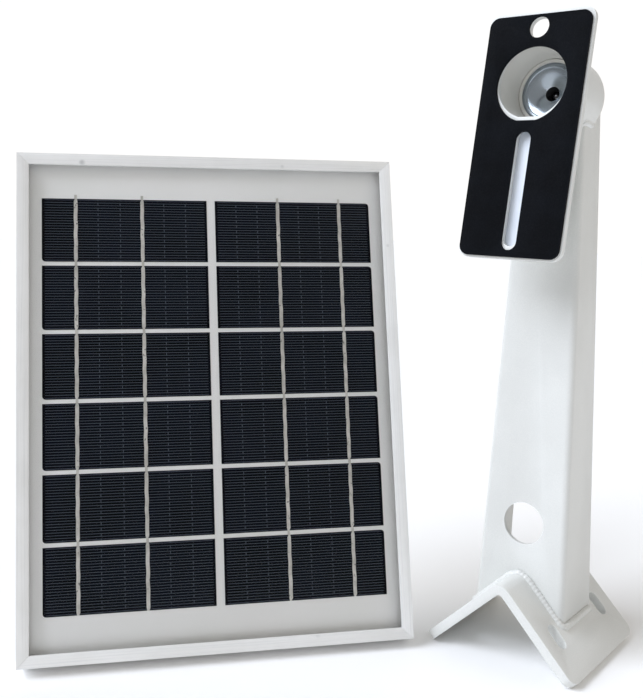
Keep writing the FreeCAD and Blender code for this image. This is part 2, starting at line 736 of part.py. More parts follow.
def square_bar(width, y0, y1, height=None):
    """A bar on the lens axis from y0 to y1, square unless a height is given."""
    w, h = width / 2, (height or width) / 2
    return box(-w, w, y0, y1, AXIS_UP - h, AXIS_UP + h)


def lens_holder():
    y0 = LENS_FRONT + HOLDER_BACK
    r = LENS_R + RUNNING
    body = ring(r + HOLDER_WALL, r, V(0, y0, AXIS_UP), Y, SENSOR_FRONT - y0)
    foot = square_bar(HOLDER_FOOT_W, SENSOR_FRONT - SENSOR_T, MODULE_BOARD_Y)
    foot = foot.cut(square_bar(2 * r + 0.3, SENSOR_FRONT - 2, MODULE_BOARD_Y + 1))
    return body.fuse(foot).removeSplitter()


def lens_barrel():
    """The screw-in lens housing: it turns in its holder to focus."""
    body = rod(LENS_R, V(0, LENS_FRONT, AXIS_UP), Y, LENS_HOUSING_L)
    mouth = Part.makeCone(LENS_R - 0.7, 2.2, 2.2, V(0, LENS_FRONT, AXIS_UP), Y)
    throat = rod(2.2, V(0, LENS_FRONT, AXIS_UP), Y, LENS_HOUSING_L)
    return body.cut(mouth).cut(throat)


def lens_elements():
    """Front, middle and rear glasses, each a thin disc with a domed front."""
    discs = []
    for y, t in ((LENS_FRONT + 2.3, 1.2), (LENS_FRONT + 4.0, 0.9), (LENS_FRONT + 5.6, 1.0)):
        disc = rod(2.2, V(0, y, AXIS_UP), Y, t)
        dome = Part.makeSphere(4.0, V(0, y + 4.0, AXIS_UP))
        discs.append(disc.common(dome))
    return Part.makeCompound(discs)


def ir_filter():
    return square_bar(FILTER_W, SENSOR_FRONT - 0.45, SENSOR_FRONT - 0.15)


def image_sensor():
    return square_bar(SENSOR_W, SENSOR_FRONT, MODULE_BOARD_Y, SENSOR_H)


def camera_board():
    solid = rod(BORE_R - SPIGOT_WALL - SEAM, V(0, MODULE_BOARD_Y, AXIS_UP), Y, MODULE_BOARD_T)
    return cap_screw_bores(solid, MODULE_BOARD_Y - 1, MODULE_BOARD_T + 2)


def tact_switch():
    y = MODULE_BOARD_Y + MODULE_BOARD_T
    switch = square_bar(SWITCH_W, y, y + SWITCH_T)
    switch.translate(Z * BUTTON_UP)
    return switch


# ---- power button, which slides in the rear cap -----------------------------------------------

BUTTON_TIP = MODULE_BOARD_Y + MODULE_BOARD_T + SWITCH_T + BUTTON_TRAVEL + FIT


def power_button():
    y1 = BARREL_BACK + CAP_T + BUTTON_PROUD
    z = AXIS_UP + BUTTON_UP
    head = rod(BUTTON_R, V(0, BUTTON_TIP, z), Y, y1 - BUTTON_TIP)
    edges = [e for e in head.Edges if abs(e.CenterOfMass.y - y1) < 0.01]
    return head.makeFillet(0.4, edges[:1])


# ---- fill light behind the slot -----------------------------------------------------------------

TRAY_HALF_W = LIGHT_SLOT_W / 2 + TRAY_MARGIN
TRAY_LOW = SLOT_MID + PAD_DROP - LIGHT_SLOT_L / 2 - 1.4
TRAY_HIGH = AXIS_UP - BARREL_R - SEAM
TRAY_FLANGE = 4.0
TRAY_RIVET_X = TRAY_HALF_W + TRAY_FLANGE / 2
RIVET_R = 1.0


def tray_rivet_heights():
    return (TRAY_LOW + 10, TRAY_LOW + 32)


def light_tray():
    y0, y1 = BARREL_FRONT, BARREL_FRONT + TRAY_D
    w = TRAY_HALF_W
    solid = box(-w, w, y0, y1, TRAY_LOW, TRAY_HIGH)
    solid = solid.cut(box(-w + TRAY_WALL, w - TRAY_WALL, y0 - 1, y1 - TRAY_WALL,
                          TRAY_LOW + TRAY_WALL, TRAY_HIGH - TRAY_WALL))
    for side in (-1, 1):
        x0, x1 = sorted((side * (w - 0.1), side * (w + TRAY_FLANGE)))
        solid = solid.fuse(box(x0, x1, y0, y0 + TRAY_WALL, TRAY_LOW + 6, TRAY_LOW + 36))
        for z in tray_rivet_heights():
            solid = solid.cut(rod(RIVET_R + RUNNING, V(side * TRAY_RIVET_X, y0 - 1, z), Y, 4))
    return solid.removeSplitter()


def tray_rivets():
    rivets = []
    for z in tray_rivet_heights():
        for side in (-1, 1):
            x = side * TRAY_RIVET_X
            shank = rod(RIVET_R, V(x, BARREL_FRONT - 1.1, z), Y, 1.1 + TRAY_WALL)
            head = Part.makeSphere(2.2, V(x, BARREL_FRONT + TRAY_WALL - 1.0, z)).common(
                box(x - 3, x + 3, BARREL_FRONT + TRAY_WALL, BARREL_FRONT + 5, z - 3, z + 3))
            rivets.append(shank.fuse(head))
    return Part.makeCompound(rivets)


def light_diffuser():
    w = TRAY_HALF_W - TRAY_WALL - FIT
    return box(-w, w, BARREL_FRONT + FIT, BARREL_FRONT + 1.1, TRAY_LOW + TRAY_WALL + FIT,
               TRAY_HIGH - TRAY_WALL - FIT)


def light_board():
    w = TRAY_HALF_W - TRAY_WALL - FIT
    y = BARREL_FRONT + TRAY_D - TRAY_WALL
    return box(-w, w, y - 0.8, y, TRAY_LOW + TRAY_WALL + FIT, TRAY_HIGH - TRAY_WALL - FIT)


def light_leds():
    y = BARREL_FRONT + TRAY_D - TRAY_WALL - 0.8
    half = LED_SIZE / 2
    count = int((TRAY_HIGH - TRAY_LOW - 2 * TRAY_WALL - LED_SIZE) // LED_PITCH) + 1
    mid = (TRAY_LOW + TRAY_HIGH) / 2
    leds = []
    for i in range(count):
        z = mid + (i - (count - 1) / 2) * LED_PITCH
        leds.append(box(-half, half, y - 0.9, y, z - half, z + half))
    return Part.makeCompound(leds)


def place_head(shape):
    shape.rotate(V(0, 0, 0), X, -HEAD_TILT)
    shape.translate(V(0, 0, HEAD_Z))
    return shape


# ---- solar panel, drawn upright with its front on y = 0 and its bottom edge on z = 0 ------------

GLASS_FRONT = RAIL_LIP_T
GLASS_EDGE = RAIL_WALL + GLASS_GAP
STACK_BACK = GLASS_FRONT + GLASS_T + EVA_T + BACKSHEET_T


def rail_section():
    """The rail's section: across x from its outer face, deep along y; an open back chamber."""
    ledge = STACK_BACK + GLASS_GAP
    back = PANEL_T
    t = RAIL_WALL
    return [(0, 0), (RAIL_LIP, 0), (RAIL_LIP, RAIL_LIP_T), (t, RAIL_LIP_T), (t, ledge),
            (RAIL_LIP, ledge), (RAIL_LIP, ledge + t), (t, ledge + t), (t, back - t),
            (RAIL_FLANGE, back - t), (RAIL_FLANGE, back), (0, back)]


def rail(length, width):
    """A mitred rail along Z on the panel's left edge, from z = 0 to z = length."""
    section = [V(-width / 2 + x, y, 0) for x, y in rail_section()]
    solid = prism(section, V(0, 0, length))
    x0 = -width / 2
    reach = RAIL_FLANGE + 1
    low = prism([V(x0, -1, 0), V(x0 + reach, -1, 0), V(x0 + reach, -1, reach)], V(0, PANEL_T + 2, 0))
    high = prism([V(x0, -1, length), V(x0 + reach, -1, length), V(x0 + reach, -1, length - reach)],
                 V(0, PANEL_T + 2, 0))
    return solid.cut(low).cut(high)


def side_rail(side):
    solid = rail(PANEL_H, PANEL_W)
    for z in (PANEL_HOLE_LOW, PANEL_H - PANEL_HOLE_LOW):
        x = -PANEL_W / 2 + (RAIL_WALL + RAIL_FLANGE) / 2
        solid = solid.cut(rod(PANEL_HOLE_R, V(x, PANEL_T - 3, z), Y, 5))
    for z, sz in ((0, 1), (PANEL_H, -1)):
        solid = solid.cut(key_screw_bore(-1, z, sz))
    if side > 0:
        solid.rotate(V(0, 0, PANEL_H / 2), Y, 180)
        solid = solid.mirror(V(0, 0, PANEL_H / 2), Z)
    return solid


def cross_rail(end):
    """The bottom rail (end = -1) or the top rail (end = 1)."""
    solid = rail(PANEL_W, PANEL_H)
    solid.rotate(V(0, 0, 0), Y, -90)
    solid.translate(V(PANEL_W / 2, 0, PANEL_H / 2))
    if end > 0:
        solid.rotate(V(0, 0, PANEL_H / 2), Y, 180)
    return solid


def corner_places():
    return [(sx, z, sz) for sx in (-1, 1) for z, sz in ((0, 1), (PANEL_H, -1))]


def corner_keys():
    """L-shaped keys pushed into the rails' back chambers at each mitre."""
    y0 = STACK_BACK + GLASS_GAP + RAIL_WALL + 1.0
    y1 = PANEL_T - RAIL_WALL - 1.0
    keys = []
    inset = RAIL_WALL
    for sx, z, sz in corner_places():
        xa = sx * (PANEL_W / 2 - inset)
        za = z + sz * inset
        legs = []
        for dx, dz in ((KEY_LEG, KEY_T), (KEY_T, KEY_LEG)):
            x0, x1 = sorted((xa, xa - sx * dx))
            z0, z1 = sorted((za, za + sz * dz))
            legs.append(box(x0, x1, y0, y1, z0, z1))
        key = legs[0].fuse(legs[1]).removeSplitter()
        keys.append(key.cut(key_screw_bore(sx, z, sz)))
    return Part.makeCompound(keys)


def key_screw_place(sx, z, sz):
    """Where a corner screw enters the side rail's outer face."""
    y = (STACK_BACK + GLASS_GAP + PANEL_T) / 2
    return V(sx * PANEL_W / 2, y, z + sz * KEY_LEG * 0.62)


def key_screw_bore(sx, z, sz):
    return rod(KEY_SCREW_R + RUNNING, key_screw_place(sx, z, sz) + X * sx, X * -sx, 8)


def corner_screws():
    """One screw through each side rail into its corner key."""
    return Part.makeCompound([rod(KEY_SCREW_R, key_screw_place(sx, z, sz), X * -sx, KEY_SCREW_L)
                              for sx, z, sz in corner_places()])


def cell_corners():
    """Lower left corner of every cell."""
    total = CELL_ROWS * CELL_H + (CELL_ROWS - 1) * CELL_GAP_Z
    z0 = (PANEL_H - total) / 2
    return [(x, z0 + row * (CELL_H + CELL_GAP_Z), column)
            for column, x in enumerate((-CELL_W - CELL_GAP_X / 2, CELL_GAP_X / 2))
            for row in range(CELL_ROWS)]


EVA_FRONT = GLASS_FRONT + GLASS_T
RIBBON_FRONT = EVA_FRONT + 0.1
CELL_FRONT = RIBBON_FRONT + RIBBON_T


def solar_cells():
    return Part.makeCompound([box(x, x + CELL_W, CELL_FRONT, CELL_FRONT + CELL_T, z, z + CELL_H)
                              for x, z, _ in cell_corners()])


def ribbon_lines():
    """x of the left edge of each ribbon; the right column mirrors the left."""
    lines = []
    for place in RIBBON_PLACES:
        x = CELL_GAP_X / 2 + CELL_W * (1 - place)
        lines += [x - RIBBON_W / 2, -x - RIBBON_W / 2]
    return lines


def cell_ribbons():
    total = CELL_ROWS * CELL_H + (CELL_ROWS - 1) * CELL_GAP_Z
    z0 = (PANEL_H - total) / 2 - 1.5
    return Part.makeCompound([box(x, x + RIBBON_W, RIBBON_FRONT, CELL_FRONT, z0, z0 + total + 3)
                              for x in ribbon_lines()])


def laminate(y0, thickness):
    w, h = PANEL_W / 2 - GLASS_EDGE, PANEL_H - GLASS_EDGE
    return box(-w, w, y0, y0 + thickness, GLASS_EDGE, h)


def panel_glass():
    return laminate(GLASS_FRONT, GLASS_T)


def encapsulant():
    return laminate(EVA_FRONT, EVA_T).cut(solar_cells()).cut(cell_ribbons())


def backsheet():
    return laminate(EVA_FRONT + EVA_T, BACKSHEET_T)


def edge_sealant():
    """The silicone round the laminate's edge, filling the rails' slot."""
    w, h = PANEL_W / 2 - RAIL_WALL, PANEL_H - RAIL_WALL
    y0, y1 = GLASS_FRONT, STACK_BACK
    return box(-w, w, y0, y1, RAIL_WALL, h).cut(laminate(y0 - 1, y1 - y0 + 2))


def jbox_z():
    return PANEL_H - JBOX_DOWN - JBOX_H


JBOX_Y1 = STACK_BACK + JBOX_D
JBOX_LID_Y = JBOX_Y1 - JBOX_LID_T


def junction_box():
    z0 = jbox_z()
    solid = rounded_box(-JBOX_W / 2, JBOX_W / 2, STACK_BACK, JBOX_LID_Y, z0, z0 + JBOX_H, 3.0, Y)
    w = JBOX_WALL
    solid = solid.cut(box(-JBOX_W / 2 + w, JBOX_W / 2 - w, STACK_BACK + w, JBOX_LID_Y + 1, z0 + w,
                          z0 + JBOX_H - w))
    return solid.cut(rod(2.6 + FIT, V(0, jbox_gland_y(), z0 - 1), Z, w + 2))


def jbox_gland_y():
    return STACK_BACK + JBOX_D / 2 - 0.8


def junction_box_lid():
    z0 = jbox_z()
    w = JBOX_WALL + FIT
    plate = rounded_box(-JBOX_W / 2, JBOX_W / 2, JBOX_LID_Y, JBOX_Y1, z0, z0 + JBOX_H, 3.0, Y)
    rim = box(-JBOX_W / 2 + w, JBOX_W / 2 - w, JBOX_LID_Y - 1.5, JBOX_LID_Y, z0 + w, z0 + JBOX_H - w)
    rim = rim.cut(box(-JBOX_W / 2 + w + 1, JBOX_W / 2 - w - 1, JBOX_LID_Y - 2, JBOX_LID_Y + 1,
                      z0 + w + 1, z0 + JBOX_H - w - 1))
    return plate.fuse(rim).removeSplitter()


def jbox_terminals():
    z = jbox_z() + JBOX_H / 2
    y0 = STACK_BACK + JBOX_WALL
    return Part.makeCompound([box(x - 5, x + 5, y0, y0 + 3.0, z - 6, z + 6) for x in (-14, 14)])


def jbox_diode():
    """The blocking diode between the two terminals."""
    z = jbox_z() + JBOX_H / 2
    y = STACK_BACK + JBOX_WALL + 2.0
    body = rod(1.4, V(-3, y, z), X, 6)
    lead = rod(0.4, V(-9, y, z), X, 18)
    return body.fuse(lead)


def jbox_gland():
    z0 = jbox_z()
    y = jbox_gland_y()
    stem = rod(2.6, V(0, y, z0 - 7.0), Z, 7.0 + JBOX_WALL + 1.0)
    collar = rod(4.0, V(0, y, z0 - 4.0), Z, 4.0)
    return stem.fuse(collar).cut(rod(1.6, V(0, y, z0 - 8), Z, 12)).removeSplitter()


def place_panel(shape):
    shape.translate(V(0, -PANEL_T, 0))
    shape.rotate(V(0, 0, 0), X, -PANEL_LEAN)
    shape.rotate(V(0, 0, 0), Z, PANEL_YAW)
    shape.translate(V(PANEL_X, PANEL_Y, 0))
    return shape


# ---- the whole object ---------------------------------------------------------------------------

MAST = {
    "base_bracket": base_bracket, "arm": arm, "weld_bead": weld_bead, "arm_back_cover": arm_back_cover,
    "cover_tabs": cover_tabs, "cover_screws": cover_screws, "case_base": case_base,
    "case_seal": case_seal, "case_lid": case_lid, "case_screws": case_screws, "foam_pads": foam_pads,
    "battery_pack": battery_pack, "board_posts": board_posts,
    "main_board": main_board, "board_chips": board_chips, "antenna_strip": antenna_strip,
    "gland_body": gland_body, "gland_locknut": gland_locknut, "gland_dome_nut": gland_dome_nut,
    "saddle_weld": saddle_weld,
}
HEAD = {
    "head_plate": head_plate, "face_pad": face_pad, "barrel_housing": barrel_housing,
    "rear_cap": rear_cap, "cap_seal": cap_seal, "cap_screws": cap_screws,
    "shroud_sleeve": shroud_sleeve, "module_carrier": module_carrier, "bezel_cone": bezel_cone,
    "lens_holder": lens_holder, "lens_barrel": lens_barrel, "lens_elements": lens_elements,
    "ir_filter": ir_filter, "image_sensor": image_sensor, "camera_board": camera_board,
    "tact_switch": tact_switch, "power_button": power_button, "light_tray": light_tray,
    "tray_rivets": tray_rivets, "light_diffuser": light_diffuser, "light_board": light_board,
    "light_leds": light_leds,
}
PANEL = {
    "frame_left": lambda: side_rail(-1), "frame_right": lambda: side_rail(1),
    "frame_bottom": lambda: cross_rail(-1), "frame_top": lambda: cross_rail(1),
    "corner_keys": corner_keys, "corner_screws": corner_screws, "panel_glass": panel_glass,
    "encapsulant": encapsulant, "solar_cells": solar_cells, "cell_ribbons": cell_ribbons,
    "backsheet": backsheet, "edge_sealant": edge_sealant, "junction_box": junction_box,
    "junction_box_lid": junction_box_lid, "jbox_terminals": jbox_terminals, "jbox_diode": jbox_diode,
    "jbox_gland": jbox_gland,
}


def build():
    """Every node in place, moved so that the origin is under the middle of the whole object."""
    shapes = {name: make() for name, make in MAST.items()}
    shapes.update({name: place_head(make()) for name, make in HEAD.items()})
    shapes.update({name: place_panel(make()) for name, make in PANEL.items()})
    span = FreeCAD.BoundBox()
    for shape in shapes.values():
        span.add(shape.optimalBoundingBox(False, False))
    shift = V(-span.Center.x, -span.Center.y, -span.ZMin)
    for shape in shapes.values():
        shape.translate(shift)
    return shapes, shift


def main():
    os.makedirs("parts", exist_ok=True)
    shapes, shift = build()
    for name, shape in shapes.items():
        if not shape.isValid():
            print("not valid:", name)
        shape.exportStep("parts/" + name + ".step")
    print(len(shapes), "nodes, shift", shift)
    return shapes, shift


main()
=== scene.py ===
# %% [markdown]
# # A solar camera on a bent-steel mast, with its panel
#
# The CAD model is the frame of this picture: every solid already has its true size and place.
# What is left to make is what a hand and an eye would notice: rounded and coated edges, a weld
# that looks laid down by a torch, screws with recesses, silicon wafers with their silver print,
# and a surface for every material.  All lengths below are metres; MM turns millimetres into them.

# %% Load the frame
import json
import math

import bmesh
import bpy
from mathutils import Matrix, Vector

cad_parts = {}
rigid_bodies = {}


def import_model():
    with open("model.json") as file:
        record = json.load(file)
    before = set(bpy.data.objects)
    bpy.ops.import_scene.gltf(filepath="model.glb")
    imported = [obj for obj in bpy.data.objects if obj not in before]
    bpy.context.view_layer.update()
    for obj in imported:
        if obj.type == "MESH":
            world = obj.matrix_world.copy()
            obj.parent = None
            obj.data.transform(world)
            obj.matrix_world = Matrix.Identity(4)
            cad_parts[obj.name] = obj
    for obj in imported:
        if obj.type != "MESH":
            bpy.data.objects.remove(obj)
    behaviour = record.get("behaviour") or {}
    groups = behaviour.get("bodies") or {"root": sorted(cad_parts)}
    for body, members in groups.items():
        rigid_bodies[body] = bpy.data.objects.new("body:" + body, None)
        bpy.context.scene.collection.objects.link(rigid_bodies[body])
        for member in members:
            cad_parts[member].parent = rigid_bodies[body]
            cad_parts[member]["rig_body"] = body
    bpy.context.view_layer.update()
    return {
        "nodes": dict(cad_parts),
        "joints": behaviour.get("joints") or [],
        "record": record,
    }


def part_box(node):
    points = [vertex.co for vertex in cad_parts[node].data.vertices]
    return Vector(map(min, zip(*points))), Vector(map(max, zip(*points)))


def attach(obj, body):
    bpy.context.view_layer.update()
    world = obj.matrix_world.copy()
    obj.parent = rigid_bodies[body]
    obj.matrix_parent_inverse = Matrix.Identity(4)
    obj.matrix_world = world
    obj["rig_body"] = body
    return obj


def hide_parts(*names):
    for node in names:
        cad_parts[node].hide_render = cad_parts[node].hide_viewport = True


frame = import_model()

MM = 0.001
JOINTS = {joint["name"]: joint for joint in frame["joints"]}
MOUNTS = {mount["name"]: mount for mount in frame["record"]["mounts"]}

# %% [markdown]
# ## Axes of the leaning parts
#
# The camera head is tilted and the panel leans and faces sideways, so neither is square to the
# room.  Each gets a rotation whose columns are its own across, back and up directions.  A piece
# is drawn square in those axes and turned once at the end.  The directions come from the record:
# the lens turns about the head's axis, and the panel's back face has a normal.

# %% Turns of the head and the panel
def turn_from_back(back):
    """The rotation whose columns are across, back and up, for a part with this back direction."""
    back = Vector(back).normalized()
    across = back.cross(Vector((0, 0, 1))).normalized()
    up = across.cross(back)
    return Matrix((across, back, up)).transposed()


MAST_TURN = Matrix.Identity(3)
HEAD_TURN = turn_from_back(-Vector(JOINTS["lens_focus"]["axis"]))
PANEL_TURN = turn_from_back(MOUNTS["panel_back_face"]["axis"])
TURNS = {"mast": MAST_TURN, "lens": HEAD_TURN, "button": HEAD_TURN, "panel": PANEL_TURN}
HEAD_NODES = ("cap_screws", "tray_rivets", "light_tray", "bezel_cone")


def body_of_node(name):
    return frame["nodes"][name]["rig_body"]


def turn_of(name):
    """The head is welded to the mast, but its pieces are square to the tilted head."""
    return HEAD_TURN if name in HEAD_NODES else TURNS[body_of_node(name)]


def merged(name):
    """The mesh of a CAD node with its loose triangles joined, as a bmesh."""
    solid = bmesh.new()
    solid.from_mesh(frame["nodes"][name].data)
    bmesh.ops.remove_doubles(solid, verts=solid.verts, dist=0.001 * MM)
    return solid


def span(points):
    """Lowest and highest corner of some points."""
    return (Vector([min(p[i] for p in points) for i in range(3)]),
            Vector([max(p[i] for p in points) for i in range(3)]))


def loose_parts(name):
    """The box of each separate solid of a CAD node, square to its own body's axes."""
    solid = merged(name)
    to_square = turn_of(name).transposed()
    waiting, boxes = set(solid.verts), []
    while waiting:
        island, edge = set(), [waiting.pop()]
        while edge:
            vert = edge.pop()
            island.add(vert)
            near = {e.other_vert(vert) for e in vert.link_edges} & waiting
            waiting -= near
            edge.extend(near)
        boxes.append(span([to_square @ v.co for v in island]))
    solid.free()
    return boxes


def square_box(name):
    """The box of a whole CAD node, square to its own body's axes."""
    corners = [corner for low_high in loose_parts(name) for corner in low_high]
    return span(corners)


print("tilt of the head", round(math.degrees(math.asin(-HEAD_TURN[2][1])), 1), "degrees")

# %% [markdown]
# ## How materials are written
#
# Every finish is a node tree.  One helper adds a node with its settings and its links, and one
# more turns the hex colours that a maker would read off a chart into the linear light values that
# the renderer works with.  Patterns read Object coordinates.  A finished piece sits at the origin
# unturned, so those are metres in the room, and a pattern's scale is one over its real size.

# %% Helpers for materials
def add(tree, kind, inputs=(), **fields):
    """Adds a node: fields set its options, inputs set its sockets to values or link them."""
    made = tree.nodes.new(kind)
    for field, value in fields.items():
        setattr(made, field, value)
    for key, value in dict(inputs).items():
        if isinstance(value, bpy.types.NodeSocket):
            tree.links.new(value, made.inputs[key])
        else:
            made.inputs[key].default_value = value
    return made


def colour(hex_code):
    """An sRGB hex colour as linear red, green, blue and alpha."""
    parts = [int(hex_code[i:i + 2], 16) / 255 for i in (1, 3, 5)]
    return [c / 12.92 if c <= 0.04045 else ((c + 0.055) / 1.055) ** 2.4 for c in parts] + [1.0]


def per_mm(size):
    """The pattern scale that gives a feature of this many millimetres."""
    return 1.0 / (size * MM)


COLOUR_A, COLOUR_B, COLOUR_OUT = 6, 7, 2   # the colour sockets of a Mix node
FINISHES = {}


def new_finish(name):
    """An empty material and its tree, with Object coordinates ready."""
    material = bpy.data.materials.new(name)
    material.use_nodes = True
    material.node_tree.nodes.clear()
    FINISHES[name] = material
    tree = material.node_tree
    return tree, add(tree, "ShaderNodeTexCoord").outputs["Object"]


# Colours edges: on most finishes a shade lighter, which is a painted edge highlight; on the rails a shade
# darker, for handling nicks.
def edge_highlight_and_wear(tree, radius_mm, low=0.02, high=0.25):
    """1 on sharp outer and inner edges and 0 on open faces, from a rounded normal."""
    rounded = add(tree, "ShaderNodeBevel", {"Radius": radius_mm * MM}, samples=4)
    true = add(tree, "ShaderNodeNewGeometry")
    dot = add(tree, "ShaderNodeVectorMath", {0: rounded.outputs[0], 1: true.outputs["True Normal"]},
              operation="DOT_PRODUCT")
    return add(tree, "ShaderNodeMapRange", {0: dot.outputs["Value"], 1: 1 - low, 2: 1 - high,
                                            3: 0.0, 4: 1.0}).outputs[0]


def mixed(tree, factor, first, second):
    """Two colours mixed by a factor; each is a hex code or a socket."""
    first, second = [colour(c) if isinstance(c, str) else c for c in (first, second)]
    mix = add(tree, "ShaderNodeMix", {0: factor, COLOUR_A: first, COLOUR_B: second}, data_type="RGBA")
    return mix.outputs[COLOUR_OUT]


def ranged(tree, value, low, high, from_low=0.0, from_high=1.0):
    """A value stretched from one range to another."""
    return add(tree, "ShaderNodeMapRange", {0: value, 1: from_low, 2: from_high, 3: low, 4: high}).outputs[0]


def noise(tree, where, size_mm, detail=3.0, rough=0.55):
    """Cloudy noise whose features are about this many millimetres."""
    return add(tree, "ShaderNodeTexNoise", {"Vector": where, "Scale": per_mm(size_mm), "Detail": detail,
                                            "Roughness": rough}).outputs["Fac"]


def bumped(tree, height, depth_mm, strength=1.0, below=None):
    """A bump of this depth; below is another bump that it lies on."""
    sockets = {"Height": height, "Distance": depth_mm * MM, "Strength": strength}
    if below is not None:
        sockets["Normal"] = below
    return add(tree, "ShaderNodeBump", sockets).outputs[0]


def surface(tree, inputs):
    """The Principled shader on the material's output."""
    shader = add(tree, "ShaderNodeBsdfPrincipled", inputs)
    add(tree, "ShaderNodeOutputMaterial", {"Surface": shader.outputs[0]})


# %% [markdown]
# ## Powder coat
#
# The mast, the plate and the barrel are mild steel under a baked polyester powder.  The powder
# melts into a skin of small soft hills, called orange peel, about a millimetre and a half apart,
# with a finer grain on top.  The eye gets a satin white: soft highlights that break up slightly,
# a paler line painted along every edge as a highlight, and a slightly darker tone in the low
# spots of the fine grain.

# %% White powder coat
def white_powder_coat():
    tree, where = new_finish("white_powder_coat")
    hills = noise(tree, where, 1.6, 2.0)
    grain = noise(tree, where, 0.45, 2.0)
    cloud = noise(tree, where, 38.0, 3.0)
    edge = edge_highlight_and_wear(tree, 0.7)
    base = mixed(tree, ranged(tree, cloud, 0.0, 1.0, 0.35, 0.65), "#dcddda", "#e3e4e1")
    # a tone a little darker in the low spots of the fine grain
    base = mixed(tree, ranged(tree, grain, 0.0, 0.35, 0.62, 0.4), base, "#d2d4d2")
    # painted highlight: a paler white along every edge
    base = mixed(tree, edge, base, "#ecedec")
    rough = ranged(tree, grain, 0.34, 0.5, 0.3, 0.7)
    relief = bumped(tree, grain, 0.02, 0.5, bumped(tree, hills, 0.07, 0.6))
    surface(tree, {"Base Color": base, "Roughness": rough, "Normal": relief, "IOR": 1.5,
                   "Coat Weight": 0.15, "Coat Roughness": 0.3})


white_powder_coat()

# %% [markdown]
# ## Foam face pad
#
# The black pad on the plate is closed-cell foam with a skin, die-cut and stuck on.  Its cells
# are about a third of a millimetre, and cut edges look rougher than the skin; every edge is also
# painted a shade lighter, as a highlight.  It is nearly black with a slight blue cast, fully
# matt, with a faint sheen at grazing angles.

# %% Black foam
def black_foam():
    tree, where = new_finish("black_foam")
    cells = add(tree, "ShaderNodeTexVoronoi", {"Vector": where, "Scale": per_mm(0.55), "Randomness": 0.9},
                feature="SMOOTH_F1").outputs["Distance"]
    cloud = noise(tree, where, 14.0, 4.0)
    dust = noise(tree, where, 0.8, 1.0)
    base = mixed(tree, ranged(tree, cloud, 0.0, 1.0, 0.35, 0.65), "#080a0e", "#0c0f14")
    base = mixed(tree, ranged(tree, dust, 0.0, 0.5, 0.7, 0.8), base, "#1a1e24")
    # painted highlight: every edge a shade lighter than the foam
    base = mixed(tree, edge_highlight_and_wear(tree, 0.4), base, "#191d23")
    surface(tree, {"Base Color": base, "Roughness": ranged(tree, cells, 0.7, 0.95, 0.1, 0.5), "IOR": 1.4,
                   "Specular IOR Level": 0.12, "Sheen Weight": 0.06, "Sheen Roughness": 0.5,
                   "Normal": bumped(tree, cells, 0.05, 0.5, bumped(tree, cloud, 0.1, 0.2))})


black_foam()

# %% [markdown]
# ## Extruded aluminium
#
# The panel's rails are extruded and left bare.  The die drags fine lines along each rail, so the
# noise is stretched a hundred times along the rail's length.  Upright and level rails need the
# stretch in different directions, which a Mapping node gives after turning the pattern square to
# the panel.  Handling leaves a few grey scuffs and darker nicks on the corners.

# %% Mill aluminium, with its grain along a chosen direction
def times(tree, first, second, operation="MULTIPLY"):
    return add(tree, "ShaderNodeMath", {0: first, 1: second}, operation=operation).outputs[0]


def mill_aluminium(name, stretch):
    tree, where = new_finish(name)
    turned = add(tree, "ShaderNodeMapping", {"Vector": where,
                                             "Rotation": PANEL_TURN.transposed().to_euler()}).outputs[0]
    drawn = add(tree, "ShaderNodeMapping", {"Vector": turned, "Scale": stretch}).outputs[0]
    lines = noise(tree, drawn, 0.7, 4.0, 0.7)
    cloud = noise(tree, where, 26.0, 4.0)
    scuff = add(tree, "ShaderNodeTexVoronoi", {"Vector": where, "Scale": per_mm(21.0), "Randomness": 1.0},
                feature="F1").outputs["Distance"]
    scuffed = times(tree, ranged(tree, scuff, 1.0, 0.0, 0.03, 0.09),
                    ranged(tree, noise(tree, where, 34.0, 2.0), 0.0, 1.0, 0.5, 0.6))
    base = mixed(tree, ranged(tree, cloud, 0.0, 1.0, 0.35, 0.65), "#efefed", "#f6f6f5")
    base = mixed(tree, ranged(tree, lines, 0.0, 0.5, 0.45, 0.7), base, "#dadbdb")
    base = mixed(tree, scuffed, base, "#a6a8a9")
    base = mixed(tree, edge_highlight_and_wear(tree, 0.5), base, "#e9e9e8")
    rough = ranged(tree, lines, 0.36, 0.52, 0.3, 0.7)
    surface(tree, {"Base Color": base, "Metallic": 0.2, "Roughness": rough,
                   "Normal": bumped(tree, lines, 0.012, 0.6, bumped(tree, scuffed, 0.04, 0.4))})


mill_aluminium("mill_aluminium_upright", (1.0, 1.0, 0.01))
mill_aluminium("mill_aluminium_level", (0.01, 1.0, 1.0))

# %% [markdown]
# ## Solar glass
#
# The cover is 3.2 mm low-iron glass with an anti-reflective, finely rolled face.  The rolled
# texture is a millimetre or so across, which spreads a lamp's reflection into a patch of sparkle
# in place of a sharp shape.  Light has to pass straight through to the cells, so the surface is
# a Transparent shader with a weak glossy one mixed in by Fresnel.

# %% Rolled solar glass, and clear coated lens glass
def solar_glass():
    tree, where = new_finish("rolled_solar_glass")
    roll = add(tree, "ShaderNodeTexVoronoi", {"Vector": where, "Scale": per_mm(1.1), "Randomness": 0.8},
               feature="SMOOTH_F1").outputs["Distance"]
    film = noise(tree, where, 45.0, 3.0)
    relief = bumped(tree, roll, 0.05, 0.5)
    fresnel = add(tree, "ShaderNodeFresnel", {"IOR": 1.11, "Normal": relief}).outputs[0]
    gloss = add(tree, "ShaderNodeBsdfAnisotropic", {"Color": colour("#ffffff"), "Normal": relief,
                                                    "Roughness": ranged(tree, film, 0.1, 0.22, 0.3, 0.7)})
    clear = add(tree, "ShaderNodeBsdfTransparent", {"Color": colour("#ffffff")})
    mix = add(tree, "ShaderNodeMixShader", {0: fresnel, 1: clear.outputs[0], 2: gloss.outputs[0]})
    add(tree, "ShaderNodeOutputMaterial", {"Surface": mix.outputs[0]})


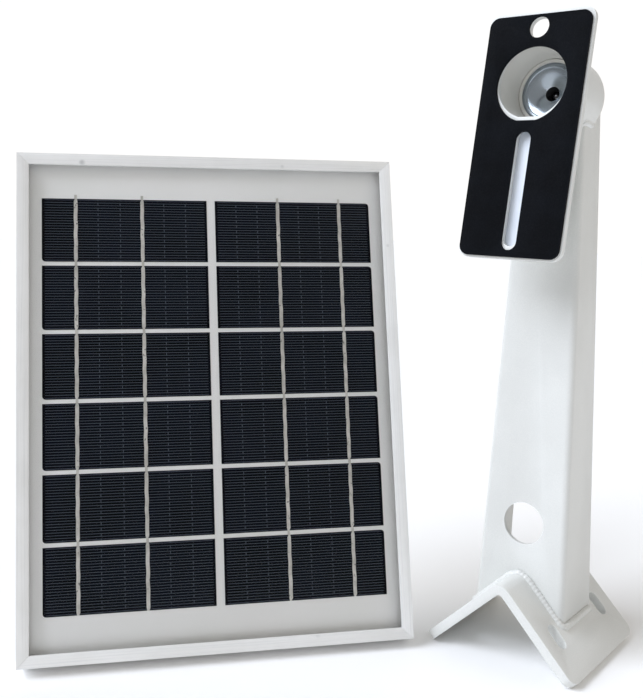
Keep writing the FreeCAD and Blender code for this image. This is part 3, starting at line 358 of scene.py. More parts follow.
def lens_glass():
    tree, where = new_finish("coated_lens_glass")
    tint = ranged(tree, noise(tree, where, 3.0, 1.0), 0.0, 1.0, 0.4, 0.6)
    base = mixed(tree, tint, "#050608", "#0b0d14")
    smear = noise(tree, where, 1.2, 2.0)
    surface(tree, {"Base Color": base, "Roughness": ranged(tree, smear, 0.02, 0.07), "IOR": 1.6,
                   "Coat Weight": 1.0, "Coat Roughness": 0.02,
                   "Normal": bumped(tree, smear, 0.002, 0.3)})


solar_glass()
lens_glass()

# %% [markdown]
# ## Silicon wafers
#
# A mono cell is nearly black with a blue cast.  Silver fingers a tenth of a millimetre wide run
# across it every 1.28 mm, and thin broken lines join them a third of the way between ribbons.
# The print has to follow each wafer and not the room, so every wafer carries its own millimetre
# coordinates in an attribute, and the lines are worked out from those.  The fingers are drawn
# 0.3 mm wide, because the real width is too fine to show.

# %% Silicon wafer
FINGER_PITCH = 1.28
FINGER_WIDTH = 0.3
CELL_MARGIN = 1.3
RIBBON_SHARES = (0.2, 0.6)


def stripe(tree, value, pitch, width, offset=0.0):
    """1 inside each line of this width, repeated at this pitch along a value in millimetres."""
    moved = add(tree, "ShaderNodeMath", {0: value, 1: offset}, operation="ADD").outputs[0]
    wave = add(tree, "ShaderNodeMath", {0: moved, 1: pitch / 2}, operation="PINGPONG").outputs[0]
    return ranged(tree, wave, 1.0, 0.0, width * 0.35, width * 0.65)


def silicon_wafer(width, height):
    tree, where = new_finish("printed_silicon_wafer")
    own = add(tree, "ShaderNodeAttribute", attribute_name="wafer_mm").outputs["Vector"]
    place = add(tree, "ShaderNodeSeparateXYZ", {0: own})
    across, up = place.outputs[0], place.outputs[2]
    fingers = stripe(tree, up, FINGER_PITCH, FINGER_WIDTH, FINGER_PITCH / 2)
    inside = times(tree, ranged(tree, across, 0.0, 1.0, CELL_MARGIN - 0.1, CELL_MARGIN + 0.1),
                   ranged(tree, across, 1.0, 0.0, width - CELL_MARGIN, width - CELL_MARGIN + 0.2))
    fingers = times(tree, fingers, inside)
    third = width * (RIBBON_SHARES[1] - RIBBON_SHARES[0]) / 3
    rows = stripe(tree, across, third, 0.34, third - width * RIBBON_SHARES[0] % third)
    beyond = ranged(tree, across, 0.0, 1.0, width * RIBBON_SHARES[0] - 0.1, width * RIBBON_SHARES[0])
    dashes = times(tree, rows, times(tree, stripe(tree, up, FINGER_PITCH * 2, 1.5), beyond))
    silver = times(tree, times(tree, fingers, 0.7), times(tree, dashes, 0.8), "MAXIMUM")
    cloud = noise(tree, where, 30.0, 2.0)
    grain = noise(tree, where, 0.5, 2.0)
    base = mixed(tree, ranged(tree, cloud, 0.0, 1.0, 0.4, 0.6), "#030409", "#060913")
    base = mixed(tree, ranged(tree, grain, 0.0, 0.4, 0.5, 0.8), base, "#0d1124")
    base = mixed(tree, silver, base, "#59616f")
    surface(tree, {"Base Color": base, "Roughness": ranged(tree, grain, 0.35, 0.5, 0.3, 0.7), "IOR": 1.14,
                   "Metallic": times(tree, silver, 0.4),
                   "Normal": bumped(tree, silver, 0.015, 0.5, bumped(tree, grain, 0.006, 0.3))})


wafer_low, wafer_high = loose_parts("solar_cells")[0]
WAFER = (wafer_high - wafer_low) / MM
silicon_wafer(WAFER.x, WAFER.z)
print("wafer", round(WAFER.x, 1), "x", round(WAFER.z, 1), "mm")

# %% [markdown]
# ## The smaller finishes
#
# The rest share a recipe: a base colour that drifts over a few centimetres, a fine grain that
# drives roughness and bump, and every edge painted a shade lighter as an edge highlight.  What
# sets them apart is the grain's size, the gloss and the colours, so one function takes those, and
# a line for each finish says what the eye should get from it.

# %% Small finishes from one recipe
def plain_finish(name, base, drift, edge, grain_mm, depth_mm, rough, metallic=0.0, ior=1.5, cloud_mm=20.0,
                 extra=()):
    tree, where = new_finish(name)
    grain = noise(tree, where, grain_mm, 3.0)
    cloud = noise(tree, where, cloud_mm, 3.0)
    tone = mixed(tree, ranged(tree, cloud, 0.0, 1.0, 0.35, 0.65), base, drift)
    # painted highlight: every edge a shade lighter than the face, in the given edge colour
    tone = mixed(tree, edge_highlight_and_wear(tree, 0.35), tone, edge)
    inputs = {"Base Color": tone, "Metallic": metallic,
              "Roughness": ranged(tree, grain, rough[0], rough[1], 0.3, 0.7),
              "Normal": bumped(tree, grain, depth_mm, 0.6)}
    if not metallic:
        inputs["IOR"] = ior
    inputs.update(dict(extra))
    surface(tree, inputs)


# satin warm-grey ABS, spark-eroded mould: an even, soft face inside the barrel
plain_finish("grey_abs", "#d9d8d2", "#e2e1dc", "#eeeeea", 0.35, 0.012, (0.36, 0.5))
# vacuum-metallised funnel: bright, slightly wavy, picks up dark arcs
plain_finish("metallised_funnel", "#929ca5", "#a9b2ba", "#c9d0d6", 9.0, 0.004, (0.16, 0.26), metallic=0.85)
# glass-filled black nylon: dull, dry grain
plain_finish("black_nylon", "#15161a", "#1d1e22", "#2c2d31", 0.3, 0.02, (0.45, 0.62))
# black moulded lens housing: darker and smoother
plain_finish("lens_black", "#08080a", "#0e0e11", "#24252a", 0.25, 0.01, (0.35, 0.5))
# zinc-plated steel: cold grey, a little yellow in the drift
plain_finish("zinc_steel", "#a9aba9", "#b8b6ab", "#d6d7d5", 0.5, 0.006, (0.28, 0.42), metallic=1.0)
# silicone and rubber seals: soft, dark, no highlight
plain_finish("seal_rubber", "#1c1d1f", "#242527", "#303134", 0.4, 0.02, (0.6, 0.8), ior=1.42)
# neutral-cure silicone at the laminate's edge: cloudy white
plain_finish("white_silicone", "#d6d7d4", "#e0e1de", "#e9eae8", 1.2, 0.05, (0.4, 0.6), ior=1.41)
# heat-shrink sleeve on the battery: glossy blue with small wrinkles
plain_finish("battery_sleeve", "#23508c", "#2b5c9c", "#4a78b2", 2.2, 0.05, (0.2, 0.35))
# solder mask over copper: deep green, fine weave showing through
plain_finish("solder_mask", "#16502c", "#1b5e34", "#3c7a50", 0.4, 0.015, (0.3, 0.45))
# black epoxy of chip packages
plain_finish("chip_epoxy", "#18181a", "#202022", "#333336", 0.15, 0.008, (0.5, 0.65))
# turned brass posts
plain_finish("turned_brass", "#b08d4f", "#bf9c5b", "#d9bd82", 0.2, 0.006, (0.25, 0.4), metallic=1.0)
# milky acrylic over the lamp row: pale, cool, very smooth
plain_finish("opal_acrylic", "#dbe3ee", "#e4eaf3", "#f0f4f9", 0.8, 0.004, (0.3, 0.42),
             extra={"Subsurface Weight": 0.2, "Subsurface Radius": (0.002, 0.002, 0.002)}.items())
# white laminated back film: faint crinkle from the laminator
plain_finish("back_film", "#fafbf9", "#fdfdfc", "#ffffff", 3.0, 0.03, (0.42, 0.55), cloud_mm=45.0)
# tin-dipped copper ribbon: bright, with solder ripples that catch the light unevenly
plain_finish("tinned_ribbon", "#c9c8c2", "#e6e5e0", "#f2f1ec", 1.8, 0.05, (0.25, 0.5), metallic=0.55,
             cloud_mm=6.0)
print(len(FINISHES), "finishes:", ", ".join(sorted(FINISHES)))

# %% [markdown]
# ## Finishes for the CAD nodes that stay
#
# Hidden and small solids, such as the boards and the seals, keep their CAD shape.  They only
# change their material, and each record slot names which finish that is.

# %% Put finishes on every CAD node
SLOT_FINISH = {
    "white_powder_coat": "white_powder_coat", "steel_zinc": "zinc_steel", "dark_plastic": "black_nylon",
    "black_foam": "black_foam", "seal_rubber": "seal_rubber", "battery_wrap": "battery_sleeve",
    "circuit_board": "solder_mask", "chip_black": "chip_epoxy", "post_brass": "turned_brass",
    "grey_plastic": "grey_abs", "bright_bezel": "metallised_funnel", "optical_glass": "coated_lens_glass",
    "diffuser": "opal_acrylic", "mill_aluminium": "mill_aluminium_upright",
    "solar_glass": "rolled_solar_glass", "silicon_cell": "printed_silicon_wafer",
    "tinned_ribbon": "tinned_ribbon", "white_backsheet": "back_film",
}
NODE_FINISH = {"lens_barrel": "lens_black", "lens_holder": "lens_black", "edge_sealant": "white_silicone",
               "frame_top": "mill_aluminium_level", "frame_bottom": "mill_aluminium_level"}
NODE_SLOT = {part["node"]: part["material_slot"] for part in frame["record"]["subparts"]}


def finish_of(name):
    """The finish of a CAD node: its own, or the one its record slot stands for."""
    return FINISHES[NODE_FINISH.get(name, SLOT_FINISH[NODE_SLOT[name]])]


for name, solid in frame["nodes"].items():
    solid.data.materials.clear()
    solid.data.materials.append(finish_of(name))
print("finished", len(frame["nodes"]), "CAD nodes")

# %% [markdown]
# ## Rounded edges
#
# A folded and coated plate has no knife edge: the powder builds a small radius.  The pieces that
# show get a copy of their CAD mesh, merged from its loose triangles, with flat faces dissolved
# into single faces and a real bevel on each sharp edge.  The copy stands for the node.

# %% Copies of CAD nodes with rounded edges
SHARP = math.radians(28)


def settle(piece, body, slot, *nodes):
    """Attaches a finished piece to the body it rides on and hides the CAD nodes it stands for; slot is not
    used.
    """
    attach(piece, body)
    if nodes:
        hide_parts(*nodes)
    return piece


def new_piece(name, mesh, finish):
    """An object for a mesh, with one material, smooth but for its sharp edges."""
    piece = bpy.data.objects.new(name, mesh)
    bpy.context.scene.collection.objects.link(piece)
    mesh.materials.clear()
    mesh.materials.append(finish)
    mesh.polygons.foreach_set("use_smooth", [True] * len(mesh.polygons))
    mesh.set_sharp_from_angle(angle=SHARP)
    return piece


def baked(piece):
    """The piece with its modifiers turned into plain mesh."""
    bpy.context.view_layer.update()
    graph = bpy.context.evaluated_depsgraph_get()
    mesh = bpy.data.meshes.new_from_object(piece.evaluated_get(graph), preserve_all_data_layers=True,
                                           depsgraph=graph)
    piece.modifiers.clear()
    piece.data = mesh
    return piece


def eased(node, piece_name, radius_mm, segments=2):
    """A copy of a CAD node with rounded edges, which stands for the node."""
    solid = merged(node)
    bmesh.ops.dissolve_limit(solid, angle_limit=math.radians(0.4), verts=solid.verts, edges=solid.edges)
    mesh = bpy.data.meshes.new(piece_name)
    solid.to_mesh(mesh)
    solid.free()
    if "custom_normal" in mesh.attributes:
        mesh.attributes.remove(mesh.attributes["custom_normal"])
    piece = new_piece(piece_name, mesh, finish_of(node))
    bevel = piece.modifiers.new("rounded edges", "BEVEL")
    bevel.width = radius_mm * MM
    bevel.segments = segments
    bevel.limit_method = "ANGLE"
    bevel.angle_limit = SHARP
    bevel.use_clamp_overlap = True
    baked(piece)
    piece.data.polygons.foreach_set("use_smooth", [True] * len(piece.data.polygons))
    piece.data.set_sharp_from_angle(angle=SHARP)
    return settle(piece, body_of_node(node), NODE_SLOT[node], node)


EASED = {
    "base_bracket": ("folded_base", 0.5), "arm": ("tapered_arm", 0.35),
    "saddle_weld": ("saddle_seam", 0.9), "arm_back_cover": ("back_cover", 0.25),
    "head_plate": ("face_plate", 0.4),
    "face_pad": ("face_foam", 0.25), "barrel_housing": ("camera_barrel", 0.4),
    "light_tray": ("lamp_tray", 0.2), "frame_left": ("left_rail", 0.2),
    "frame_right": ("right_rail", 0.2),
    "frame_top": ("top_rail", 0.2), "frame_bottom": ("bottom_rail", 0.2),
    "panel_glass": ("cover_glass", 0.4), "junction_box": ("wiring_box", 0.3),
    "junction_box_lid": ("wiring_box_lid", 0.3), "case_base": ("control_case", 0.3),
    "battery_pack": ("battery_pouch", 0.3), "gland_body": ("cable_gland", 0.2),
    "gland_dome_nut": ("cable_gland_nut", 0.3), "jbox_gland": ("wiring_box_gland", 0.2),
}
for node, (piece_name, radius) in EASED.items():
    piece = eased(node, piece_name, radius)
    print(piece_name, len(piece.data.polygons), "faces")

# %% [markdown]
# ## Setting out repeated pieces
#
# Screws, rivets, wafers and ribbons all repeat.  A Geometry Nodes tree puts one pattern piece on
# every point of a small mesh.  Each point carries a turn, which stands the pattern the right way
# up, and the tree can add a random spin, as a screwdriver leaves its recesses at any angle.  The
# instances are made real at the end, because the export only keeps real mesh.

# %% The tree that sets pieces out
def set_out_tree():
    tree = bpy.data.node_groups.new("set_out", "GeometryNodeTree")
    for name, kind in (("Places", "Geometry"), ("Pattern", "Object"), ("Size", "Float"), ("Spin", "Float"),
                       ("Seed", "Int"), ("Finish", "Material")):
        tree.interface.new_socket(name, in_out="INPUT", socket_type="NodeSocket" + kind)
    tree.interface.new_socket("Result", in_out="OUTPUT", socket_type="NodeSocketGeometry")
    given = add(tree, "NodeGroupInput").outputs
    pattern = add(tree, "GeometryNodeObjectInfo", {"Object": given["Pattern"]})
    stand = add(tree, "GeometryNodeInputNamedAttribute", {"Name": "turn"}, data_type="FLOAT_VECTOR")
    stood = add(tree, "FunctionNodeEulerToRotation", {0: stand.outputs[0]})
    low = add(tree, "ShaderNodeMath", {0: given["Spin"], 1: -1.0}, operation="MULTIPLY")
    chance = add(tree, "FunctionNodeRandomValue", {2: low.outputs[0], 3: given["Spin"],
                                                   "Seed": given["Seed"]})
    spin = add(tree, "FunctionNodeAxisAngleToRotation", {"Axis": (0, 1, 0), "Angle": chance.outputs[1]})
    turned = add(tree, "FunctionNodeRotateRotation", {0: stood.outputs[0], 1: spin.outputs[0]},
                 rotation_space="LOCAL")
    spread = add(tree, "GeometryNodeInstanceOnPoints", {
        "Points": given["Places"], "Instance": pattern.outputs["Geometry"],
        "Rotation": turned.outputs[0], "Scale": given["Size"]})
    real = add(tree, "GeometryNodeRealizeInstances", {0: spread.outputs[0]})
    painted = add(tree, "GeometryNodeSetMaterial", {"Geometry": real.outputs[0], "Material": given["Finish"]})
    add(tree, "NodeGroupOutput", {0: painted.outputs[0]})
    return tree


SET_OUT = set_out_tree()


def run_tree(piece, tree, settings):
    """Runs a tree on an object with its inputs set by identifier, and bakes the result."""
    identifiers = {item.name: item.identifier for item in tree.interface.items_tree
                   if item.item_type == "SOCKET" and item.in_out == "INPUT"}
    run = piece.modifiers.new(tree.name, "NODES")
    run.node_group = tree
    for name, value in settings.items():
        run[identifiers[name]] = value
    return baked(piece)


def set_out(name, pattern, places, turns, finish, spin=0.0, seed=1, size=1.0):
    """One mesh with the pattern on every place; turns are rotations, one for each place."""
    base = bpy.data.meshes.new(name + "_places")
    base.from_pydata([tuple(p) for p in places], [], [])
    turn = base.attributes.new("turn", "FLOAT_VECTOR", "POINT")
    turn.data.foreach_set("vector", [angle for t in turns for angle in t.to_euler()])
    piece = bpy.data.objects.new(name, base)
    bpy.context.scene.collection.objects.link(piece)
    run_tree(piece, SET_OUT, {"Pattern": pattern, "Size": size, "Spin": spin, "Seed": seed, "Finish": finish})
    piece.data.polygons.foreach_set("use_smooth", [True] * len(piece.data.polygons))
    piece.data.set_sharp_from_angle(angle=SHARP)
    bpy.data.objects.remove(pattern)
    print(name, "on", len(places), "places,", len(piece.data.polygons), "faces")
    return piece


# %% [markdown]
# ## Turned shapes
#
# A screw head, a lens and a funnel are all turned: one outline goes round an axis.  The outline
# is a list of (radius, depth) pairs, and the rings are joined with quads.  A pole is one point,
# so no thin triangles meet in a hole there.

# %% Turned meshes
def turned_mesh(name, outline, sides=48):
    """A closed solid from an outline of (radius, depth) in mm, round the back axis; both ends on the axis."""
    solid = bmesh.new()
    rings = []
    for radius, depth in outline:
        count = 1 if radius == 0 else sides
        rings.append([solid.verts.new(Vector((radius * math.cos(math.tau * i / sides), depth,
                                              radius * math.sin(math.tau * i / sides))) * MM)
                      for i in range(count)])
    for first, second in zip(rings, rings[1:]):
        for i in range(sides):
            j = (i + 1) % sides
            corners = [first[i % len(first)], first[j % len(first)], second[j % len(second)],
                       second[i % len(second)]]
            unique = list(dict.fromkeys(corners))
            if len(unique) > 2:
                solid.faces.new(unique)
    bmesh.ops.recalc_face_normals(solid, faces=solid.faces)
    mesh = bpy.data.meshes.new(name)
    solid.to_mesh(mesh)
    solid.free()
    return mesh


def pattern_object(mesh):
    """A pattern for the set_out tree; it is removed when the tree has run."""
    pattern = bpy.data.objects.new(mesh.name, mesh)
    bpy.context.scene.collection.objects.link(pattern)
    return pattern


def arc(radius, centre, start, end, steps):
    """Points (radius, depth) on an arc; angles in degrees from the radius direction."""
    return [(centre[0] + radius * math.cos(math.radians(start + (end - start) * i / steps)),
             centre[1] + radius * math.sin(math.radians(start + (end - start) * i / steps)))
            for i in range(steps + 1)]


# %% [markdown]
# ## Screws
#
# Four countersunk screws hold the back cover, four small ones the case lid, three the rear cap
# and four the frame's corners.  Each kind is a turned head and shank with a cross recess cut
# into it, set out at the places where the CAD has its screws.

# %% Screw patterns and their places
def cross_recess(reach_mm, width_mm, depth_mm, face_mm):
    """The cutter of a cross recess that goes in from the screw's outer face."""
    cutter = bmesh.new()
    for wide, tall in ((reach_mm, width_mm), (width_mm, reach_mm)):
        made = bmesh.ops.create_cube(cutter, size=1.0)["verts"]
        for vert in made:
            taper = 1.0 if vert.co.y > 0 else 0.55
            vert.co = Vector((vert.co.x * wide * taper, vert.co.y * 2 * depth_mm + face_mm,
                              vert.co.z * tall * taper)) * MM
    mesh = bpy.data.meshes.new("cross_recess")
    cutter.to_mesh(mesh)
    cutter.free()
    return pattern_object(mesh)


def screw_pattern(name, outline, cutter):
    """A turned screw with its recess cut by a boolean, outer face towards +Y."""
    screw = pattern_object(turned_mesh(name, outline, 36))
    cut = screw.modifiers.new("recess", "BOOLEAN")
    cut.operation = "DIFFERENCE"
    cut.object = cutter
    cut.solver = "EXACT"
    cut.use_self = True
    baked(screw)
    bpy.data.objects.remove(cutter)
    return screw


def countersunk(shank_r, length, head_r, head_depth):
    """Outline of a countersunk screw with its face at depth 0."""
    return [(0, -length), (shank_r * 0.8, -length), (shank_r, -length + 0.3), (shank_r, -head_depth),
            (head_r - 0.1, -0.12), (head_r, -0.05), (head_r - 0.08, 0), (0, 0)]


def pan_head(shank_r, length, head_r, head_high):
    """Outline of a pan-head screw that stands on depth 0."""
    return ([(0, -length), (shank_r, -length), (shank_r, 0), (head_r, 0)]
            + arc(head_high * 0.7, (head_r - head_high * 0.7, head_high * 0.3), 0, 90, 6) + [(0, head_high)])


def screws(node, name, outline, cutter, outer_face, back=Vector((0, 1, 0)), spin=math.pi, seed=1):
    """Screws at the places of a CAD node's solids; outer_face picks the height of the place on each box."""
    turn = turn_of(node)
    places, turns = [], []
    for low, high in loose_parts(node):
        middle = (low + high) / 2
        places.append(turn @ outer_face(low, high, middle))
        away = back if not callable(back) else back(middle)
        turns.append(turn @ Vector((0, 1, 0)).rotation_difference(away).to_matrix())
    piece = set_out(name, screw_pattern(name + "_pattern", outline, cutter), places, turns, finish_of(node),
                    spin=spin, seed=seed)
    return settle(piece, body_of_node(node), NODE_SLOT[node], node)


def at_back(low, high, middle):
    return Vector((middle.x, high.y, middle.z))


CAP_HEAD = 0.7
screws("cover_screws", "cover_screw_set", countersunk(1.5, 4.7, 2.95, 1.25),
       cross_recess(2.6, 0.75, 0.9, 0.0), at_back, seed=3)
screws("case_screws", "case_screw_set", countersunk(0.8, 6.5, 1.45, 0.6),
       cross_recess(1.5, 0.45, 0.5, 0.0), at_back, seed=5)
screws("cap_screws", "cap_screw_set", pan_head(1.0, 6.0, 1.9, CAP_HEAD),
       cross_recess(2.0, 0.6, 0.5, CAP_HEAD),
       lambda low, high, middle: Vector((middle.x, high.y - CAP_HEAD * MM, middle.z)), seed=7)
panel_low, panel_high = square_box("panel_glass")
panel_middle = (panel_low + panel_high) / 2
screws("corner_screws", "corner_screw_set", countersunk(1.35, 4.3, 1.4, 0.5),
       cross_recess(1.9, 0.5, 0.6, 0.0),
       lambda low, high, middle: Vector((low.x if middle.x < panel_middle.x else high.x, middle.y, middle.z)),
       back=lambda middle: Vector((math.copysign(1.0, middle.x - panel_middle.x), 0, 0)), seed=9)

# %% [markdown]
# ## Tray rivets
#
# Blind rivets hold the lamp tray: a domed flange with the broken end of its mandrel in a small
# crater.

# %% Rivets
def rivets():
    head = [(0, -1.0), (1.0, -1.0), (1.0, 0.0), (1.95, 0.0)] + arc(1.2, (0.75, -0.05), 15, 80, 5) + \
           [(0.7, 1.08), (0.55, 0.75), (0.35, 0.8), (0, 0.8)]
    turn = HEAD_TURN
    flange = square_box("tray_rivets")[1].y - 1.2 * MM
    places = [turn @ Vector(((low.x + high.x) / 2, flange, (low.z + high.z) / 2))
              for low, high in loose_parts("tray_rivets")]
    piece = set_out("tray_rivet_set", pattern_object(turned_mesh("rivet", head, 24)), places,
                    [turn] * len(places), FINISHES["zinc_steel"])
    print(len(places), "rivets")
    return settle(piece, "mast", NODE_SLOT["tray_rivets"], "tray_rivets")


rivets()

# %% [markdown]
# ## The weld at the arm's foot
#
# The arm is welded to the folded base along its front and both sides.  A weld follows a path, so
# a tree draws a path through the corner, rounds its turns, and sweeps a circle whose radius
# swells every couple of millimetres.  Those are the ripples that each dab of the torch leaves,
# and the powder only softens them.

# %% The tree that lays a weld bead
def bead_tree():
    tree = bpy.data.node_groups.new("weld_bead", "GeometryNodeTree")
    for name, kind in (("Path", "Geometry"), ("Bead radius", "Float"), ("Ripple pitch", "Float"),
                       ("Ripple share", "Float"), ("Corner radius", "Float"), ("Finish", "Material")):
        tree.interface.new_socket(name, in_out="INPUT", socket_type="NodeSocket" + kind)
    tree.interface.new_socket("Result", in_out="OUTPUT", socket_type="NodeSocketGeometry")
    given = add(tree, "NodeGroupInput").outputs
    line = add(tree, "GeometryNodeMeshToCurve", {0: given["Path"]})
    soft = add(tree, "GeometryNodeFilletCurve", {"Curve": line.outputs[0], "Radius": given["Corner radius"],
                                                 "Count": 6, "Limit Radius": True}, mode="POLY")
    fine = add(tree, "ShaderNodeMath", {0: given["Ripple pitch"], 1: 6.0}, operation="DIVIDE")
    even = add(tree, "GeometryNodeResampleCurve", {"Curve": soft.outputs[0], "Length": fine.outputs[0]},
               mode="LENGTH")
    along = add(tree, "GeometryNodeSplineParameter").outputs["Length"]
    waves = add(tree, "ShaderNodeMath", {0: along, 1: given["Ripple pitch"]}, operation="DIVIDE")
    phase = add(tree, "ShaderNodeMath", {0: waves.outputs[0], 1: math.tau}, operation="MULTIPLY")
    swell = add(tree, "ShaderNodeMath", {0: phase.outputs[0]}, operation="SINE")
    share = add(tree, "ShaderNodeMath", {0: swell.outputs[0], 1: given["Ripple share"], 2: 1.0},
                operation="MULTIPLY_ADD")
    radius = add(tree, "ShaderNodeMath", {0: share.outputs[0], 1: given["Bead radius"]}, operation="MULTIPLY")
    circle = add(tree, "GeometryNodeCurvePrimitiveCircle", {"Resolution": 20, "Radius": 1.0})
    swept = add(tree, "GeometryNodeCurveToMesh", {
        "Curve": even.outputs[0], "Profile Curve": circle.outputs[0],
        "Scale": radius.outputs[0], "Fill Caps": True})
    real = add(tree, "GeometryNodeRealizeInstances", {0: swept.outputs[0]})
    painted = add(tree, "GeometryNodeSetMaterial", {"Geometry": real.outputs[0], "Material": given["Finish"]})
    add(tree, "NodeGroupOutput", {0: painted.outputs[0]})
    return tree


def weld():
    """The bead round the arm's foot: up the base's slope, over the ridge and down again."""
    leg, bead, out = 2.2 * MM, 1.75 * MM, 0.25 * MM
    low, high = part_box("weld_bead")
    mid = (low.x + high.x) / 2
    half = (high.x - low.x) / 2 - leg
    front, back = low.y + leg - out, high.y - bead
    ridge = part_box("base_bracket")[1].z
    side, flank, shoulder = half + out, ridge + 2.0 * MM - half, ridge - 2.0 * MM
    bend = 4.5 * MM
    points = [(-side, back, flank), (-side, front, flank), (-bend, front, shoulder), (0, front, ridge),
              (bend, front, shoulder), (side, front, flank), (side, back, flank)]
    path = bpy.data.meshes.new("weld_path")
    path.from_pydata([(mid + x, y, z) for x, y, z in points],
                     [(i, i + 1) for i in range(len(points) - 1)], [])
    piece = bpy.data.objects.new("foot_weld", path)
    bpy.context.scene.collection.objects.link(piece)
    run_tree(piece, bead_tree(), {"Bead radius": bead, "Ripple pitch": 1.9 * MM, "Ripple share": 0.05,
                                  "Corner radius": 3.0 * MM, "Finish": FINISHES["white_powder_coat"]})
    piece.data.polygons.foreach_set("use_smooth", [True] * len(piece.data.polygons))
    print("weld", len(piece.data.polygons), "faces")
    return settle(piece, "mast", NODE_SLOT["weld_bead"], "weld_bead")


weld()

# %% [markdown]
# ## The cell field
#
# The panel has two columns of six half cells.  A wafer is sawn from a rounded ingot, so one
# corner of each half is rounded.  The right column is the left one turned by half a turn,
# which puts that corner at the opposite end and mirrors the ribbons, as a stringer lays them.
# One wafer is drawn in mesh code and set out twelve times.

# %% Wafers
WAFER_CORNER = 1.6


def wafer_pattern(width, height, thick, flat):
    """A thin wafer about its own middle, front towards -Y, with one rounded corner and its own mm."""
    corner = [(x - width / 2 + flat, z - height / 2 + flat) for x, z in arc(flat, (0, 0), 180, 270, 4)]
    outline = corner + [(width / 2, -height / 2), (width / 2, height / 2), (-width / 2, height / 2)]
    solid = bmesh.new()
    front = [solid.verts.new(Vector((x, 0, z)) * MM) for x, z in outline]
    rear = [solid.verts.new(Vector((x, thick, z)) * MM) for x, z in outline]
    solid.faces.new(front)
    solid.faces.new(rear[::-1])
    for i in range(len(outline)):
        j = (i + 1) % len(outline)
        solid.faces.new([front[j], front[i], rear[i], rear[j]])
    bmesh.ops.recalc_face_normals(solid, faces=solid.faces)
    mesh = bpy.data.meshes.new("wafer")
    solid.to_mesh(mesh)
    solid.free()
    own = mesh.attributes.new("wafer_mm", "FLOAT_VECTOR", "POINT")
    own.data.foreach_set("vector", [n for v in mesh.vertices
                                    for n in (v.co.x / MM + width / 2, 0, v.co.z / MM + height / 2)])
    return pattern_object(mesh)


HALF_TURN = Matrix.Rotation(math.pi, 3, "Y")


def wafers():
    boxes = loose_parts("solar_cells")
    places = [PANEL_TURN @ Vector(((low.x + high.x) / 2, low.y, (low.z + high.z) / 2)) for low, high in boxes]
    turns = [PANEL_TURN if (low.x + high.x) / 2 < panel_middle.x else PANEL_TURN @ HALF_TURN
             for low, high in boxes]
    thick = (boxes[0][1].y - boxes[0][0].y) / MM
    piece = set_out("wafer_field", wafer_pattern(WAFER.x, WAFER.z, thick, WAFER_CORNER), places, turns,
                    FINISHES["printed_silicon_wafer"])
    return settle(piece, "panel", NODE_SLOT["solar_cells"], "solar_cells")


wafers()

# %% [markdown]
# ## Ribbons
#
# Flat tinned ribbons join the cells in each column.  On a cell the solder leaves the ribbon
# slightly crowned and wandering by a tenth of a millimetre.  Between two cells it dips behind, so
# only a short dull tab shows.  One ribbon length with its tab is the pattern, set out at every
# ribbon of every cell.

# %% Ribbons and the white bed behind the cells
def ribbon_pattern(width, length, gap):
    """One length of ribbon over a cell, crowned in the middle, with the bare tab that crosses the gap."""
    solid = bmesh.new()
    steps = 24
    rows = []
    for i in range(steps + 1):
        up = length * i / steps - length / 2
        drift = 0.12 * math.sin(2.1 * up / 3.0) * math.sin(math.pi * i / steps)
        end = min(i, steps - i)
        half = width / 2 * (0.72 if end == 0 else 1.0)
        crown = 0.0 if end == 0 else 0.08
        profile = ((-half, 0.1), (-half * 0.5, 0.1 - crown), (half * 0.5, 0.1 - crown), (half, 0.1))
        rows.append([solid.verts.new(Vector((x + drift, y, up)) * MM) for x, y in profile])
    for first, second in zip(rows, rows[1:]):
        for i in range(3):
            solid.faces.new([first[i], first[i + 1], second[i + 1], second[i]])
    tab = [solid.verts.new(Vector((x, 0.1, up)) * MM)
           for x, up in ((-width * 0.36, length / 2), (width * 0.36, length / 2),
                         (width * 0.36, length / 2 + gap), (-width * 0.36, length / 2 + gap))]
    solid.faces.new(tab)
    mesh = bpy.data.meshes.new("ribbon")
    solid.to_mesh(mesh)
    solid.free()
    return pattern_object(mesh)


def ribbons():
    cells = loose_parts("solar_cells")
    lines = loose_parts("cell_ribbons")
    low, high = lines[0]
    rows = sorted({round((a.z + b.z) / 2, 5) for a, b in cells})
    gap = (rows[1] - rows[0]) / MM - WAFER.z
    places = [PANEL_TURN @ Vector(((a.x + b.x) / 2, low.y, z)) for a, b in lines for z in rows]
    pattern = ribbon_pattern((high.x - low.x) / MM, WAFER.z, gap)
    piece = set_out("ribbon_runs", pattern, places, [PANEL_TURN] * len(places), FINISHES["tinned_ribbon"])
    return settle(piece, "panel", NODE_SLOT["cell_ribbons"], "cell_ribbons")


def cell_bed():
    """The white film just behind the cells, where the clear filler and the back film look like one."""
    low, high = square_box("encapsulant")
    cell_back = loose_parts("solar_cells")[0][1].y + 0.02 * MM
    solid = bmesh.new()
    bmesh.ops.create_cube(solid, size=1.0)
    for vert in solid.verts:
        share = vert.co + Vector((0.5, 0.5, 0.5))
        square = Vector((low.x + share.x * (high.x - low.x), cell_back + share.y * (high.y - cell_back),
                         low.z + share.z * (high.z - low.z)))
        vert.co = PANEL_TURN @ square
    bmesh.ops.bevel(solid, geom=solid.edges[:], offset=0.05 * MM, segments=1, affect="EDGES")
    bmesh.ops.recalc_face_normals(solid, faces=solid.faces)
    mesh = bpy.data.meshes.new("cell_bed")
    solid.to_mesh(mesh)
    solid.free()
    piece = new_piece("cell_bed", mesh, FINISHES["back_film"])
    return settle(piece, "panel", NODE_SLOT["encapsulant"], "encapsulant")


ribbons()
cell_bed()

# %% [markdown]
# ## The funnel and the lens
#
# Behind the plate's window a grey liner leads to a bright funnel, and the funnel to a small lens.
# The funnel has a flat rim, a shallow step and a curved throat, so its reflections bend into arcs.
# The front glass is a dome in a black mount.  All are turned round the lens axis.

# %% Funnel and lens
LENS_AXIS = HEAD_TURN.transposed() @ Vector(JOINTS["lens_focus"]["pos_m"])


